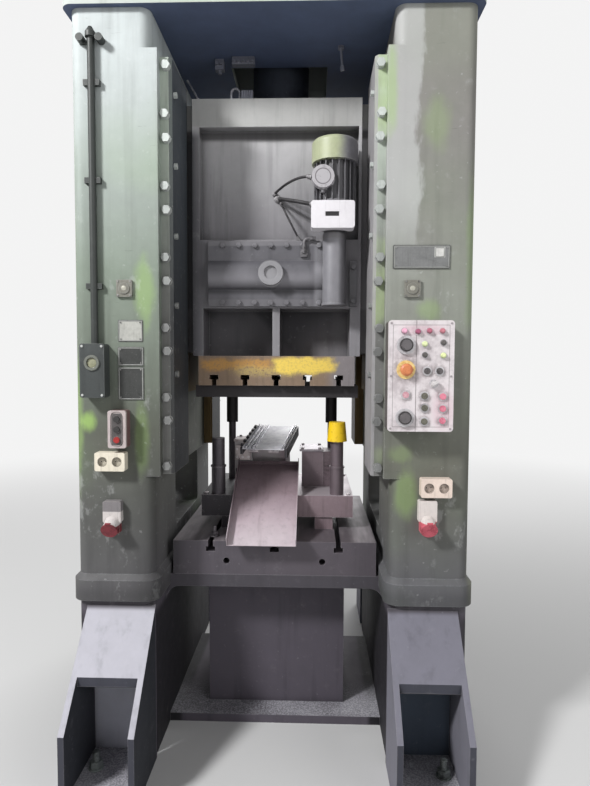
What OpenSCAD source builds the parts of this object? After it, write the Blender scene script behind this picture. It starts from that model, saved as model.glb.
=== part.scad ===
// Straight-side mechanical stamping press with one connecting rod, a back-shaft gear drive,
// a motor-adjusted slide and a small die set between its plates. Millimetres, +Z up, the
// front faces -Y, and the origin lies on the floor in the middle of the four feet.

/* [Frame] */
// Clear width between the two uprights
column_clear = 1022; // [980:2:1100]
// Width of one upright, seen from the front
column_w = 339; // [320:1:360]
// Depth of one upright from front to back
column_d = 1360; // [1340:10:1420]
// Radius of the upright's vertical edges
column_r = 45; // [20:1:60]
// Distance from the upper end of the machined pad to the crown
pad_room = 163; // [140:1:200]
// Wall of the hollow frame members
wall_t = 40; // [32:1:45]
// Thickness of the end plates that close each upright
end_t = 60; // [40:1:80]
// Height of the collar round the foot of each upright
collar_h = 114; // [80:1:130]
// How far the collar stands out from the upright
collar_proud = 22; // [15:1:25]
// Thickness of the machined pad that carries the guides
pad_t = 31; // [28:1:40]
// Height of the pad's lower end above the floor
pad_z = 1257; // [1240:1:1280]
// Length of the pad
pad_h = 1802; // [1780:1:1820]
// Room above the bull gear inside the crown
top_room = 52.4; // [48:0.2:110]
// How far the crown stands out over the uprights
crown_proud = 27; // [10:1:35]
// Radius of the tie rods
rod_r = 50; // [40:1:55]
// Distance of the tie rods from the middle, front to back
rod_y = 500; // [470:5:520]
// Width of the feed window in each upright
window_w = 560; // [400:10:600]
// Height of the feed window
window_h = 300; // [200:5:310]
// Height of the window's sill above the floor
window_z = 935; // [920:1:950]

/* [Bed and feet] */
// Height of the bed's two legs, where the uprights stand
bed_h = 712; // [700:1:730]
// Height of the table that the bolster lies on
table_z = 756; // [745:1:790]
// Thickness of the table
table_t = 59; // [45:1:65]
// Width of the box under the table
box_w = 676; // [560:2:720]
// Depth of the box under the table
box_d = 594; // [500:2:640]
// Thickness of the plate on the floor
base_t = 40; // [30:1:50]
// Depth of the floor plate between the legs
base_d = 830; // [700:5:900]
// How far each foot reaches out at the floor
foot_reach = 326; // [300:1:330]
// Height of the upright front edge of a foot rib
foot_nose = 300; // [200:5:350]
// Thickness of the foot ribs and of the sloping plate
rib_t = 25; // [20:1:32]
// How far out the sloping plate ends
slope_reach = 190; // [150:5:220]
// Radius of the anchor holes
anchor_r = 17; // [14:1:20]

/* [Bolster] */
// Width of the bolster
bolster_w = 952; // [900:2:960]
// Depth of the bolster
bolster_d = 952; // [900:2:960]
// Thickness of the bolster
bolster_t = 160; // [150:1:175]
// Throat width of every T-slot
slot_w = 24; // [20:1:28]
// Head width of every T-slot
slot_head_w = 43; // [38:1:50]
// Head height of every T-slot
slot_head_h = 23; // [18:1:26]
// Depth of the throat above the head
slot_lip = 28; // [24:1:34]
// Distance between the bolster's T-slots
bolster_pitch = 300; // [280:5:320]

/* [Slide] */
// Width of the slide between its guide ears
slide_w = 800; // [780:2:810]
// Depth of the slide
slide_d = 734; // [700:2:760]
// Height of the slide's casting
slide_h = 1204; // [1190:1:1215]
// Height of the die face at the top of the stroke
die_face_z = 1641; // [1630:1:1660]
// Thickness of the T-slotted plate
slide_plate_t = 142; // [110:1:150]
// Width of the T-slotted plate
slide_plate_w = 748; // [700:2:760]
// Distance between the slide's T-slots
slide_pitch = 150; // [140:1:155]
// Working stroke of the slide
stroke = 160; // [140:2:162]
// Depth of the panel above the gear case
panel_deep = 60; // [40:1:70]
// Depth of the two pockets below the gear case
pocket_deep = 160; // [100:5:180]
// Half the depth of the guide ears
ear_y = 320; // [290:1:322]
// Radius of the well in the top of the slide
well_r = 222; // [215:1:230]

/* [Guides] */
// How far a gib bracket stands out from its pad
gib_t = 50; // [42:1:52]
// Distance of the gib brackets' outer faces from the middle
gib_y = 640; // [600:1:660]
// Length of the gib brackets
gib_h = 1778; // [1700:1:1779]
// Thickness of the bronze liners
liner_t = 15; // [12:1:18]
// Running clearance of parts that slide on each other
run_gap = 0.3; // [0.2:0.05:0.5]
// Distance between two gib bolts of one row
gib_bolt_pitch = 300; // [280:5:310]

/* [Drive] */
// Room under the bull gear inside the crown
low_room = 28.4; // [24:0.2:34]
// Radius of the crank pin
pin_r = 110; // [90:1:112]
// Width of the connecting rod's big end
rod_w = 160; // [140:2:160]
// Radius of the connecting rod's big end
big_r = 220; // [200:1:225]
// Thickness of the two crank discs
disc_t = 70; // [55:1:75]
// Radius of the crankshaft's journals
journal_r = 120; // [100:1:125]
// Radius of the ball at the foot of the adjusting screw
ball_r = 120; // [110:1:125]
// Height of the ball's centre above the die face
ball_up = 349; // [340:1:360]
// Radius of the adjusting screw
screw_r = 85; // [75:1:88]
// Length by which the rod and screw can be drawn apart
adjust = 80; // [40:5:85]
// Gear module
gear_m = 12; // [11.5:0.5:12]
// Teeth of the bull gear
bull_teeth = 70; // [70:1:71]
// Teeth of the pinion
pinion_teeth = 14; // [14:1:15]
// Width of the bull gear's rim
gear_w = 110; // [80:1:120]
// Radius of the pinion shaft
back_shaft_r = 45; // [35:1:50]
// Radius of the flywheel
flywheel_r = 500; // [440:5:505]
// Width of the flywheel's rim
flywheel_w = 150; // [140:2:160]
// Radius of the motor pulley
pulley_r = 110; // [90:1:130]
// Number of drive belts
belts = 4; // [3:1:5]
// Radius of the main motor's frame
motor_r = 150; // [120:1:160]
// Length of the main motor's frame
motor_l = 420; // [360:5:450]

/* [Slide adjustment] */
// Width of the gear case on the slide
case_w = 643; // [600:1:660]
// Height of the gear case
case_h = 306; // [290:1:312]
// Thickness of the gear case's flange
case_t = 25; // [18:1:30]
// Outer radius of the worm's round housing
worm_case_r = 85; // [75:1:90]
// Outer radius of the adjusting wheel
wheel_r = 300; // [290:1:305]
// Thickness of the adjusting wheel
wheel_t = 60; // [50:1:70]
// Outer radius of the worm
worm_r = 40; // [34:1:44]
// Distance of the motor's axis to the right of the middle
adjust_x = 272; // [262:1:280]
// Distance of the motor's axis in front of the middle
adjust_y = 424; // [418:1:430]
// Radius of the adjusting motor over its fins
adjust_r = 96; // [85:1:100]
// Height of the adjusting motor's finned frame
adjust_h = 185; // [160:1:190]

/* [Die set] */
// Width of the lower die shoe
shoe_w = 760; // [720:2:780]
// Thickness of the upper die shoe
upper_shoe_t = 58; // [50:1:62]
// Thickness of the lower die shoe
lower_shoe_t = 109; // [90:1:109]
// Height of the parallels under the lower die shoe
parallel_h = 63; // [50:1:63]
// Radius of the guide posts
post_r = 20; // [16:1:24]
// Radius of the front stop posts
stop_r = 32; // [28:1:36]
// Height of the stop posts above the lower shoe
stop_h = 283; // [260:1:285]
// Sheet thickness of the chute and the rail
sheet_t = 3; // [2:0.5:4]
// Width of the chute
chute_w = 318; // [280:2:330]
// Height of the chute's sides
chute_side = 45; // [30:1:60]

/* [Controls] */
// Width of the control box
panel_w = 266; // [260:1:290]
// Height of the control box
panel_h = 452; // [445:1:480]
// Depth of the control box without its lid
panel_d = 92; // [70:1:110]
// Thickness of the lid
lid_t = 8; // [6:1:12]
// Radius of a push button
button_r = 13; // [11:0.5:14]
// Travel of a push button
button_travel = 5; // [3:0.5:6]
// Radius of the two palm buttons
palm_r = 27; // [24:1:29]
// Travel of a palm button
palm_travel = 8; // [5:0.5:9]

/* [Hidden] */
$fn = 48;

col_in = column_clear / 2;
col_out = col_in + column_w;
col_mid = col_in + column_w / 2;
front = -column_d / 2;
upright_h = pad_z + pad_h + pad_room - bed_h;
gear_tip = gear_m * (bull_teeth / 2 + 0.8);
crank_up = wall_t + low_room + gear_tip;
crown_h = crank_up + gear_tip + top_room + wall_t;
crown_z = bed_h + upright_h;
crown_top = crown_z + crown_h;
crown_x = col_out + crown_proud;
crown_y = column_d / 2 + crown_proud;
pad_x = col_in - pad_t;
pad_top = pad_z + pad_h;
bolster_z = table_z + bolster_t;
leg_top_t = 60;
rod_hole_r = rod_r + 2;
nut_h = 90;

// Slide and guides
slide_bottom = die_face_z + slide_plate_t;
slide_top = slide_bottom + slide_h;
slide_front = -slide_d / 2;
ear_x = pad_x - liner_t - run_gap;
gib_in = pad_x - gib_t;
gib_z = pad_z + 5;
gib_back = ear_y + run_gap + liner_t;
case_z = slide_bottom + 234;
case_top = case_z + case_h;
worm_z = case_z + case_h / 2 - 7;
worm_y = -(wheel_r + worm_r + 0.5);
panel_z = case_top + 10;
panel_top = slide_top - 130;

// Crank drive
crank_z = crown_z + crank_up;
ecc = stroke / 2;
pin_z = crank_z + ecc;
ball_z = die_face_z + ball_up;
disc_y = rod_w / 2 + 1;
disc_r = ecc + pin_r + 48;
bulk_y = disc_y + disc_t + 39;
bulk_t = 60;
gear_y = bulk_y + bulk_t + 85;
pitch_bull = gear_m * bull_teeth / 2;
pitch_pinion = gear_m * pinion_teeth / 2;
gear_c = pitch_bull + pitch_pinion;
gear_dir = 45;
back_x = gear_c * cos(gear_dir);
back_z = crank_z + gear_c * sin(gear_dir);
fly_y = crown_y + 65;
bearing_t = 30;
fit = 0.05;
nut_r = screw_r + 60;
nut_top = crank_z - disc_r - adjust - 12;
rod_stem_z = ball_z + 340;

// Motor on the crown
motor_x = -430;
motor_foot = 45;
motor_z = crown_top + motor_foot + motor_r;
belt_w = 22;
belt_t = 14;
belt_pitch = flywheel_w / (belts + 1);
groove_deep = 15;

// Die set
shoe_bottom = bolster_z + parallel_h;
shoe_top = shoe_bottom + lower_shoe_t;
upper_shoe_z = die_face_z - upper_shoe_t;
shoe_front = -275;
post_x = 282;
post_y = 150;
stop_x = 300;
stop_y = -235;
bush_r = post_r + 12;
bush_z = upper_shoe_z - 170;
cap_h = 84;
cap_r = 50;

// Controls
panel_x = pad_x + 1;
panel_bottom = 1474;
panel_y = front - panel_d;
lid_y = panel_y - lid_t;
collar_ring = 5;

module block(x0, x1, y0, y1, z0, z1) {
    translate([x0, y0, z0]) cube([x1 - x0, y1 - y0, z1 - z0]);
}

module rounded(w, h, r) {
    square([w - 2 * r, h], center = true);
    square([w, h - 2 * r], center = true);
    for (x = [-1, 1], y = [-1, 1]) translate([x * (w / 2 - r), y * (h / 2 - r)]) circle(r);
}

// Draws a flat outline upright, and grows it towards the front from y
module to_front(y, t) {
    translate([0, y, 0]) rotate([90, 0, 0]) linear_extrude(t) children();
}

module along_y(y0, y1, r) {
    translate([0, y1, 0]) rotate([90, 0, 0]) cylinder(r = r, h = y1 - y0);
}

module along_x(x0, x1, r) {
    translate([x0, 0, 0]) rotate([0, 90, 0]) cylinder(r = r, h = x1 - x0);
}

module both_sides() {
    children();
    mirror([1, 0, 0]) children();
}

module four_ways() {
    both_sides() {
        children();
        mirror([0, 1, 0]) children();
    }
}

module hex_head(af, h) {
    cylinder(r = af / sqrt(3), h = h, $fn = 6);
}

// Frame

module foot() {
    x0 = col_in - 6;
    x1 = col_out - 45;
    top = bed_h - 20;
    slope = (top - foot_nose) / foot_reach;
    far = column_d / 2 + foot_reach;
    near = column_d / 2 - 1;
    for (x = [x0, x1 - rib_t]) translate([x, 0, 0]) rotate([90, 0, 90]) linear_extrude(rib_t)
        polygon([[near, 0], [far, 0], [far, foot_nose], [near, top + slope]]);
    translate([x0, 0, 0]) rotate([90, 0, 90]) linear_extrude(x1 - x0)
        polygon([
            [near, top + slope], [near + slope_reach, top + slope - slope * slope_reach],
            [near + slope_reach, top + slope - slope * slope_reach - rib_t * 1.6],
            [near, top + slope - rib_t * 1.6],
        ]);
    difference() {
        block(x0, x1, near, far - 6, 0, base_t);
        translate([anchor_x(), anchor_y(), -1]) cylinder(r = anchor_r, h = base_t + 2);
    }
}

function anchor_x() = col_out - 121;
function anchor_y() = column_d / 2 + 128;

module leg() {
    difference() {
        translate([col_mid, 0, 0]) linear_extrude(bed_h) rounded(column_w, column_d, column_r);
        block(col_in + wall_t, col_out - wall_t, front + wall_t, -front - wall_t, base_t,
            bed_h - leg_top_t);
        for (y = [-rod_y, rod_y]) translate([col_mid, y, bed_h - leg_top_t - 1])
            cylinder(r = rod_hole_r, h = leg_top_t + 2);
    }
    foot();
    mirror([0, 1, 0]) foot();
}

module table_outline() {
    difference() {
        block(-col_in - 1, col_in + 1, -bolster_d / 2, bolster_d / 2, 0, table_z);
        for (s = [-1, 1]) translate([0, s * (bolster_d / 2 + 1), 0]) rotate([90, 0, 0])
            translate([0, 0, s > 0 ? 0 : -(bolster_d - box_d) / 2 - 2])
            linear_extrude((bolster_d - box_d) / 2 + 2)
            translate([0, (table_z - table_t) / 2 - 50])
            rounded(column_clear, table_z - table_t + 100, 66);
        for (s = [-1, 1]) block(s > 0 ? box_w / 2 : -col_in, s > 0 ? col_in : -box_w / 2,
            -box_d / 2 - 2, box_d / 2 + 2, -1, table_z - table_t);
        block(-box_w / 2 + wall_t, box_w / 2 - wall_t, -box_d / 2 + wall_t, box_d / 2 - wall_t,
            base_t, table_z - table_t);
    }
    block(-col_in - 1, col_in + 1, -base_d / 2, base_d / 2, 0, base_t);
}

module bed() {
    color([0.30, 0.33, 0.32]) difference() {
        union() {
            both_sides() leg();
            table_outline();
        }
        both_sides() block(col_in - collar_proud, col_out, front - collar_proud,
            -front + collar_proud, bed_h, table_z + 1);
    }
}

module upright() {
    difference() {
        union() {
            translate([col_mid, 0, bed_h]) linear_extrude(upright_h)
                rounded(column_w, column_d, column_r);
            translate([col_mid, 0, bed_h]) linear_extrude(collar_h - collar_proud)
                rounded(column_w + 2 * collar_proud, column_d + 2 * collar_proud,
                    column_r + collar_proud);
            collar_slope();
            block(pad_x, col_mid, front, -front, pad_z, pad_top);
        }
        difference() {
            block(col_in + wall_t, col_out - wall_t, front + wall_t, -front - wall_t,
                bed_h + end_t, crown_z - end_t);
            block(0, col_out, -window_w / 2 - wall_t, window_w / 2 + wall_t,
                window_z - wall_t, window_z + window_h + wall_t);
        }
        translate([pad_x - 1, 0, window_z + window_h / 2]) rotate([90, 0, 90])
            linear_extrude(col_out - pad_x + 2) rounded(window_w, window_h, 40);
        for (y = [-rod_y, rod_y]) translate([col_mid, y, bed_h - 1])
            cylinder(r = rod_hole_r, h = upright_h + 2);
    }
}

// The sloping top of the collar, as four wedges with round corners between them
module collar_slope() {
    z = bed_h + collar_h - collar_proud;
    h = collar_proud;
    x = column_w / 2 - column_r;
    y = column_d / 2 - column_r;
    translate([col_mid, 0, z]) {
        for (sx = [-1, 1], sy = [-1, 1]) translate([sx * x, sy * y, 0])
            cylinder(r1 = column_r + h, r2 = column_r, h = h);
        rotate([90, 0, 0]) translate([0, 0, -y]) linear_extrude(2 * y) polygon([
            [-x - column_r - h, 0], [x + column_r + h, 0], [x + column_r, h], [-x - column_r, h]]);
        rotate([90, 0, 90]) translate([0, 0, -x]) linear_extrude(2 * x) polygon([
            [-y - column_r - h, 0], [y + column_r + h, 0], [y + column_r, h], [-y - column_r, h]]);
    }
}

module left_upright() {
    color([0.42, 0.47, 0.42]) mirror([1, 0, 0]) upright();
}

module right_upright() {
    color([0.42, 0.47, 0.42]) upright();
}

module crown() {
    well_x = nut_r + 95;
    color([0.42, 0.47, 0.42]) difference() {
        union() {
            difference() {
                translate([0, 0, crown_z]) linear_extrude(crown_h)
                    rounded(2 * crown_x, 2 * crown_y, column_r);
                block(-crown_x + wall_t, crown_x - wall_t, -crown_y + wall_t, crown_y - wall_t,
                    crown_z + wall_t, crown_top - wall_t);
            }
            for (y = [-bulk_y - bulk_t, bulk_y]) block(-crown_x + wall_t - 1,
                crown_x - wall_t + 1, y, y + bulk_t, crown_z + wall_t - 1, crown_top - wall_t + 1);
            four_ways() translate([col_mid, rod_y, crown_z + wall_t - 1])
                cylinder(r = rod_hole_r + 22, h = crown_h - 2 * wall_t + 2);
        }
        block(-well_x, well_x, -nut_r - 25, nut_r + 25, crown_z - 1, crown_z + wall_t + 1);
        translate([0, 0, crank_z]) along_y(-bulk_y - bulk_t - 1, crown_y + 1,
            journal_r + bearing_t);
        translate([back_x, 0, back_z]) along_y(0, crown_y + 1, back_shaft_r + bearing_t);
        four_ways() translate([col_mid, rod_y, crown_z - 1])
            cylinder(r = rod_hole_r, h = crown_h + 2);
    }
}

module tie_rods() {
    z0 = bed_h - leg_top_t - nut_h - 30;
    color([0.25, 0.25, 0.26]) four_ways() translate([col_mid, rod_y, 0]) {
        translate([0, 0, z0]) cylinder(r = rod_r, h = crown_top + nut_h + 30 - z0);
        for (z = [bed_h - leg_top_t - nut_h, crown_top]) translate([0, 0, z]) difference() {
            hex_head(3.1 * rod_r, nut_h);
            translate([0, 0, -1]) cylinder(r = rod_r + fit, h = nut_h + 2);
        }
    }
}

module t_slot(length, z, up) {
    translate([0, length / 2, z]) rotate([90, 0, 0]) linear_extrude(length)
        scale([1, up]) union() {
            translate([-slot_w / 2, -slot_lip - 1]) square([slot_w, slot_lip + 2]);
            translate([-slot_head_w / 2, -slot_lip - slot_head_h])
                square([slot_head_w, slot_head_h]);
        }
}

module bolster() {
    color([0.36, 0.33, 0.34]) difference() {
        block(-bolster_w / 2, bolster_w / 2, -bolster_d / 2, bolster_d / 2, table_z, bolster_z);
        for (i = [-1:1]) translate([i * bolster_pitch, 0, 0])
            t_slot(bolster_d + 2, bolster_z, 1);
        for (s = [-1, 1]) translate([s * 0.75 * bolster_pitch, 0, table_z + 65])
            along_y(-bolster_d / 2 - 1, -bolster_d / 2 + 60, 15);
    }
}

// Guides

module gib_brackets() {
    liner_z = window_z + window_h + 365;
    color([0.40, 0.46, 0.38]) four_ways() {
        difference() {
            block(gib_in, pad_x, gib_back, gib_y, gib_z, gib_z + gib_h);
            translate([gib_in, gib_y, gib_z - 1]) rotate([0, 0, 45])
                translate([-9, -9, 0]) cube([18, 18, gib_h + 2]);
        }
        block(gib_in + 8, pad_x - liner_t - 6, gib_back - liner_t, gib_back, gib_z + 40,
            gib_z + gib_h - 30);
    }
    color([0.55, 0.42, 0.22]) both_sides()
        block(pad_x - liner_t, pad_x, -ear_y + 15, ear_y - 15, liner_z, gib_z + gib_h - 30);
}

module gib_bolts() {
    rows = [[0, 0.44], [-200, 0.56]];
    color([0.22, 0.24, 0.22]) four_ways() {
        for (row = rows, i = [0:5]) {
            z = gib_z + gib_h - 40 + row[0] - i * gib_bolt_pitch;
            if (z > gib_z + 20) translate([gib_in + row[1] * gib_t, gib_y, z])
                rotate([-90, 0, 0]) {
                    cylinder(r = 20.5, h = 4);
                    translate([0, 0, 4]) hex_head(34, 20);
                }
        }
        for (i = [0:4]) translate([gib_in, gib_y - 42, gib_z + gib_h - 140 - i * gib_bolt_pitch])
            rotate([0, -90, 0]) hex_head(24, 14);
    }
}

// Slide

module slide_body() {
    chamber = wheel_t + 2 * run_gap;
    side = slide_w / 2;
    color([0.45, 0.46, 0.46]) difference() {
        union() {
            block(-side, side, slide_front, -slide_front, slide_bottom, slide_top);
            both_sides() block(side - 1, ear_x, -ear_y, ear_y, slide_bottom + 17,
                slide_top - 12);
        }
        for (s = [0, 1]) rotate(s * 180) {
            block(-side + 34, side - 14, slide_front - 1, slide_front + panel_deep, panel_z,
                panel_top);
            for (x = [[-side + 50, -18], [17, side - 50]]) block(x[0], x[1], slide_front - 1,
                slide_front + pocket_deep, slide_bottom - 1, case_z - 7);
        }
        translate([0, 0, rod_stem_z - 20]) cylinder(r = well_r, h = slide_top);
        translate([0, 0, worm_z - chamber / 2]) cylinder(r = wheel_r + run_gap, h = chamber);
        translate([0, 0, ball_z]) cylinder(r = screw_r + 20, h = slide_top);
        translate([0, 0, ball_z]) sphere(r = ball_r + run_gap, $fn = 96);
        translate([0, 0, ball_z + ball_r / 2]) cylinder(r1 = ball_r, r2 = screw_r + 20, h = 50);
        translate([0, worm_y, worm_z]) along_x(-case_w / 2 + 16, case_w / 2 - 90, 46);
        block(-case_w / 2 + 16, case_w / 2 - 90, slide_front - 1, worm_y, worm_z - 46,
            worm_z + 46);
    }
}

module slide_plate() {
    color([0.52, 0.46, 0.38]) difference() {
        block(-slide_plate_w / 2, slide_plate_w / 2, slide_front, -slide_front, die_face_z,
            slide_bottom);
        for (i = [-2:2]) translate([i * slide_pitch, 0, 0])
            t_slot(slide_d + 2, die_face_z, -1);
    }
}

module adjust_cover() {
    x1 = adjust_x - adjust_hub_r() - 1;
    bulge = worm_case_r;
    color([0.46, 0.46, 0.47]) {
        difference() {
            union() {
                translate([0, 0, (case_z + case_top) / 2]) to_front(slide_front, case_t)
                    rounded(case_w, case_h, 14);
                translate([0, worm_y, worm_z]) along_x(-case_w / 2 + 4, x1 + 8, bulge);
                translate([-22, 0, worm_z + 5]) along_y(worm_y - bulge - 22, worm_y, 58);
                translate([adjust_x, -adjust_y, case_z + 4])
                    cylinder(r = adjust_hub_r(), h = case_h + 18);
                translate([adjust_x, -adjust_y, case_z]) cylinder(r = adjust_hub_r() + 4, h = 12);
            }
            block(-case_w, case_w, slide_front, 0, case_z - 20, case_top + 60);
            translate([0, worm_y, worm_z]) along_x(-case_w / 2 + 16, x1 - 4, 46);
            translate([-22, 0, worm_z + 5]) along_y(worm_y - bulge - 30, worm_y - bulge - 12, 31);
        }
        strip_x = case_w / 2 + 24;
        block(strip_x, strip_x + 36, slide_front - case_t + 4, slide_front, case_z, case_z + 214);
        for (z = [case_z + 26, case_z + 184]) translate([strip_x + 18, slide_front - case_t + 4, z])
            rotate([90, 0, 0]) hex_head(22, 12);
        for (i = [0:6]) {
            x = -case_w / 2 + 70 + i * (case_w - 190) / 6;
            translate([x, slide_front - case_t, case_top - 22]) rotate([90, 0, 0])
                hex_head(22, 12);
            translate([x, slide_front - case_t, case_z + 18]) rotate([90, 0, 0])
                hex_head(22, 12);
        }
    }
}

function adjust_hub_r() = 54;

module worm_wheel() {
    teeth = 48;
    color([0.62, 0.50, 0.25]) translate([0, 0, worm_z - wheel_t / 2]) difference() {
        cylinder(r = wheel_r, h = wheel_t);
        translate([0, 0, -1]) cylinder(r = screw_r + 16, h = wheel_t + 2);
        for (i = [0:teeth - 1]) rotate([0, 0, i * 360 / teeth]) translate([wheel_r, 0, -1])
            cylinder(r = 9, h = wheel_t + 2);
    }
}

module worm_shaft() {
    x0 = -case_w / 2 + 17;
    x1 = adjust_x - adjust_hub_r() - 6;
    color([0.55, 0.55, 0.57]) translate([0, worm_y, worm_z]) union() {
        along_x(x0, x1, 22);
        along_x(x0, x0 + 30, 46 - run_gap);
        along_x(x1 - 30, x1, 46 - run_gap);
        for (i = [-3:3]) along_x(i * 22 - 6, i * 22 + 6, worm_r);
        along_x(-78, 78, worm_r - 10);
    }
}

module adjust_motor() {
    base = case_top + 22;
    body = base + 130;
    color([0.13, 0.13, 0.14]) translate([adjust_x, -adjust_y, 0]) {
        union() {
            translate([0, 0, base]) cylinder(r = adjust_hub_r() - 4, h = 30);
            translate([0, 0, base + 24]) cylinder(r = 72, h = 106);
            translate([0, 0, body - 2]) cylinder(r = adjust_r - 6, h = 12);
            translate([0, 0, body - 1]) cylinder(r = adjust_r - 16, h = adjust_h + 1);
            for (i = [0:19]) rotate([0, 0, 9 + i * 18])
                translate([0, -2, body]) cube([adjust_r, 4, adjust_h]);
        }
    }
    // Round terminal box with its gland, on the front of the motor
    color([0.85, 0.83, 0.84]) translate([adjust_x - 56, 0, body + adjust_h / 2 + 8]) difference() {
        union() {
            along_y(-adjust_y - 115, -adjust_y - 78, 50);
            along_y(-adjust_y - 80, -adjust_y - 40, 34);
            translate([0, -adjust_y - 96, -68]) cylinder(r = 9, h = 30);
        }
        translate([56, -adjust_y, -100]) cylinder(r = adjust_r + 0.2, h = 200);
    }
}

module fan_cowl() {
    r = adjust_r + 10;
    z = case_top + 22 + 130 + adjust_h;
    color([0.62, 0.68, 0.42]) translate([adjust_x, -adjust_y, z]) rotate_extrude($fn = 64)
        polygon([
            [r - 3, 0], [r, 0], [r, 84],
            for (a = [0:15:75]) [r - 22 + 22 * cos(a), 84 + 22 * sin(a)],
            [r - 22, 106], [0, 109], [0, 106],
            [r - 22, 103], for (a = [75:-15:0]) [r - 22 + 19 * cos(a), 84 + 19 * sin(a)],
            [r - 3, 12], [adjust_r - 14, 12], [adjust_r - 14, 0],
        ]);
}

module counter_box() {
    z = case_top + 27;
    color([0.88, 0.87, 0.88]) difference() {
        translate([adjust_x - 11, 0, z + 60.5]) to_front(-adjust_y - 40, 72) rounded(194, 121, 12);
        translate([adjust_x, -adjust_y, z - 20]) cylinder(r = 72.2, h = 200);
        translate([adjust_x - 14, 0, z + 62]) to_front(-adjust_y - 109, 6) square([62, 20],
            center = true);
    }
}

// One cable as a tube round a list of points
function unit(v) = v / norm(v);
function lerp_point(a, b, t) = a + (b - a) * t;
function bow(a, b, c, t) = lerp_point(lerp_point(a, b, t), lerp_point(b, c, t), t);
module tube(path, r, sides = 8) {
    n = len(path);
    rings = [for (i = [0:n - 1]) let (
        d = unit(path[min(i + 1, n - 1)] - path[max(i - 1, 0)]),
        u = unit(cross(d, [0, 0, 1])),
        v = cross(u, d))
        for (k = [0:sides - 1]) path[i] + r * (cos(k * 360 / sides) * u
            + sin(k * 360 / sides) * v)];
    polyhedron(rings, [
        [for (k = [0:sides - 1]) k],
        for (i = [0:n - 2], k = [0:sides - 1]) [
            i * sides + k, (i + 1) * sides + k,
            (i + 1) * sides + (k + 1) % sides, i * sides + (k + 1) % sides],
        [for (k = [sides - 1:-1:0]) (n - 1) * sides + k],
    ]);
}

// The cables leave the slide's panel and run to the adjusting motor and the gear case
cable_exit = [-12, slide_front + panel_deep, 2560];
cable_ends = [
    [[adjust_x - 180, -adjust_y - 96, 2590], [adjust_x - 107.2, -adjust_y - 96, 2575.5], 6],
    [[adjust_x - 177, -adjust_y, 2500], [adjust_x - adjust_r + 3.9, -adjust_y, case_top + 156], 9],
    [[30, -440, 2470], [110, slide_front - 14, case_top + 3], 4.5],
];

module cable(i) {
    c = cable_ends[i];
    a = cable_exit + [i * 16, -0.2, -i * 24];
    b = a + [0, -14, 0];
    color([0.08, 0.08, 0.08]) tube([a, for (t = [0:0.1:1]) bow(b, c[0], c[1], t)], c[2]);
}
module motor_cable() cable(0);
module power_cable() cable(1);
module sensor_cable() cable(2);

// Drive

module crankshaft() {
    color([0.50, 0.50, 0.52]) translate([0, 0, crank_z]) {
        union() {
            along_y(-disc_y - disc_t, -disc_y, disc_r);
            along_y(-bulk_y - bulk_t - 30, -disc_y - disc_t + 1, journal_r);
        }
        union() {
            along_y(disc_y, disc_y + disc_t, disc_r);
            along_y(disc_y + disc_t - 1, crown_y - 12, journal_r);
        }
    }
}

module crank_pin() {
    color([0.62, 0.62, 0.64]) translate([0, 0, pin_z])
        along_y(-disc_y + 0.5, disc_y - 0.5, pin_r);
}

module conrod() {
    color([0.38, 0.39, 0.40]) difference() {
        union() {
            translate([0, 0, pin_z]) along_y(-rod_w / 2, rod_w / 2, big_r);
            translate([0, rod_w / 2, 0]) rotate([90, 0, 0]) linear_extrude(rod_w)
                polygon([[-nut_r, nut_top - 80], [nut_r, nut_top - 80], [nut_r, nut_top],
                    [big_r - 30, pin_z - 60], [-big_r + 30, pin_z - 60], [-nut_r, nut_top]]);
            translate([0, 0, rod_stem_z]) cylinder(r = nut_r, h = nut_top - rod_stem_z);
            translate([0, 0, rod_stem_z]) cylinder(r = nut_r + 12, h = 60);
        }
        translate([0, 0, pin_z]) along_y(-rod_w, rod_w, pin_r + fit);
        translate([0, 0, rod_stem_z - 1]) cylinder(r = screw_r + run_gap, h = 700);
    }
}

module adjusting_screw() {
    color([0.58, 0.58, 0.60]) union() {
        translate([0, 0, ball_z]) sphere(r = ball_r, $fn = 96);
        translate([0, 0, ball_z]) cylinder(r = screw_r, h = rod_stem_z + 560 - ball_z);
    }
}

// Involute gear outline. The tooth that points along +X is the first one.
function inv(a) = tan(a) * 180 / PI - a;
function flank_angle(teeth, r, slack) = let (
    p = gear_m * teeth / 2, b = p * cos(20), a = acos(min(1, b / r)))
    90 / teeth - slack / p * 90 / PI + inv(20) - inv(a);
module gear_2d(teeth, slack) {
    p = gear_m * teeth / 2;
    base = p * cos(20);
    tip = p + 0.8 * gear_m;
    root = p - gear_m;
    low = max(base, root);
    radii = [for (i = [0:4]) low + (tip - low) * i / 4];
    polygon([for (n = [0:teeth - 1]) let (mid = n * 360 / teeth) each concat(
        [root * polar(mid - flank_angle(teeth, low, slack) - (low > root ? 0 : 0.01))],
        [for (r = radii) r * polar(mid - flank_angle(teeth, r, slack))],
        [for (i = [4:-1:0]) radii[i] * polar(mid + flank_angle(teeth, radii[i], slack))],
        [root * polar(mid + flank_angle(teeth, low, slack) + (low > root ? 0 : 0.01))])]);
}
function polar(a) = [cos(a), sin(a)];

module bull_gear() {
    color([0.40, 0.40, 0.42]) translate([0, gear_y + gear_w, crank_z]) rotate([90, 0, 0])
        difference() {
            linear_extrude(gear_w) rotate(gear_dir) gear_2d(bull_teeth, 0.8);
            translate([0, 0, -1]) cylinder(r = journal_r, h = gear_w + 2);
            for (z = [-1, gear_w - 30]) translate([0, 0, z]) difference() {
                cylinder(r = pitch_bull - 60, h = 31);
                translate([0, 0, -1]) cylinder(r = journal_r + 50, h = 40);
            }
            for (i = [0:5]) rotate(i * 60) translate([(pitch_bull + journal_r) / 2, 0, -1])
                cylinder(r = 60, h = gear_w + 2);
        }
}

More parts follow.
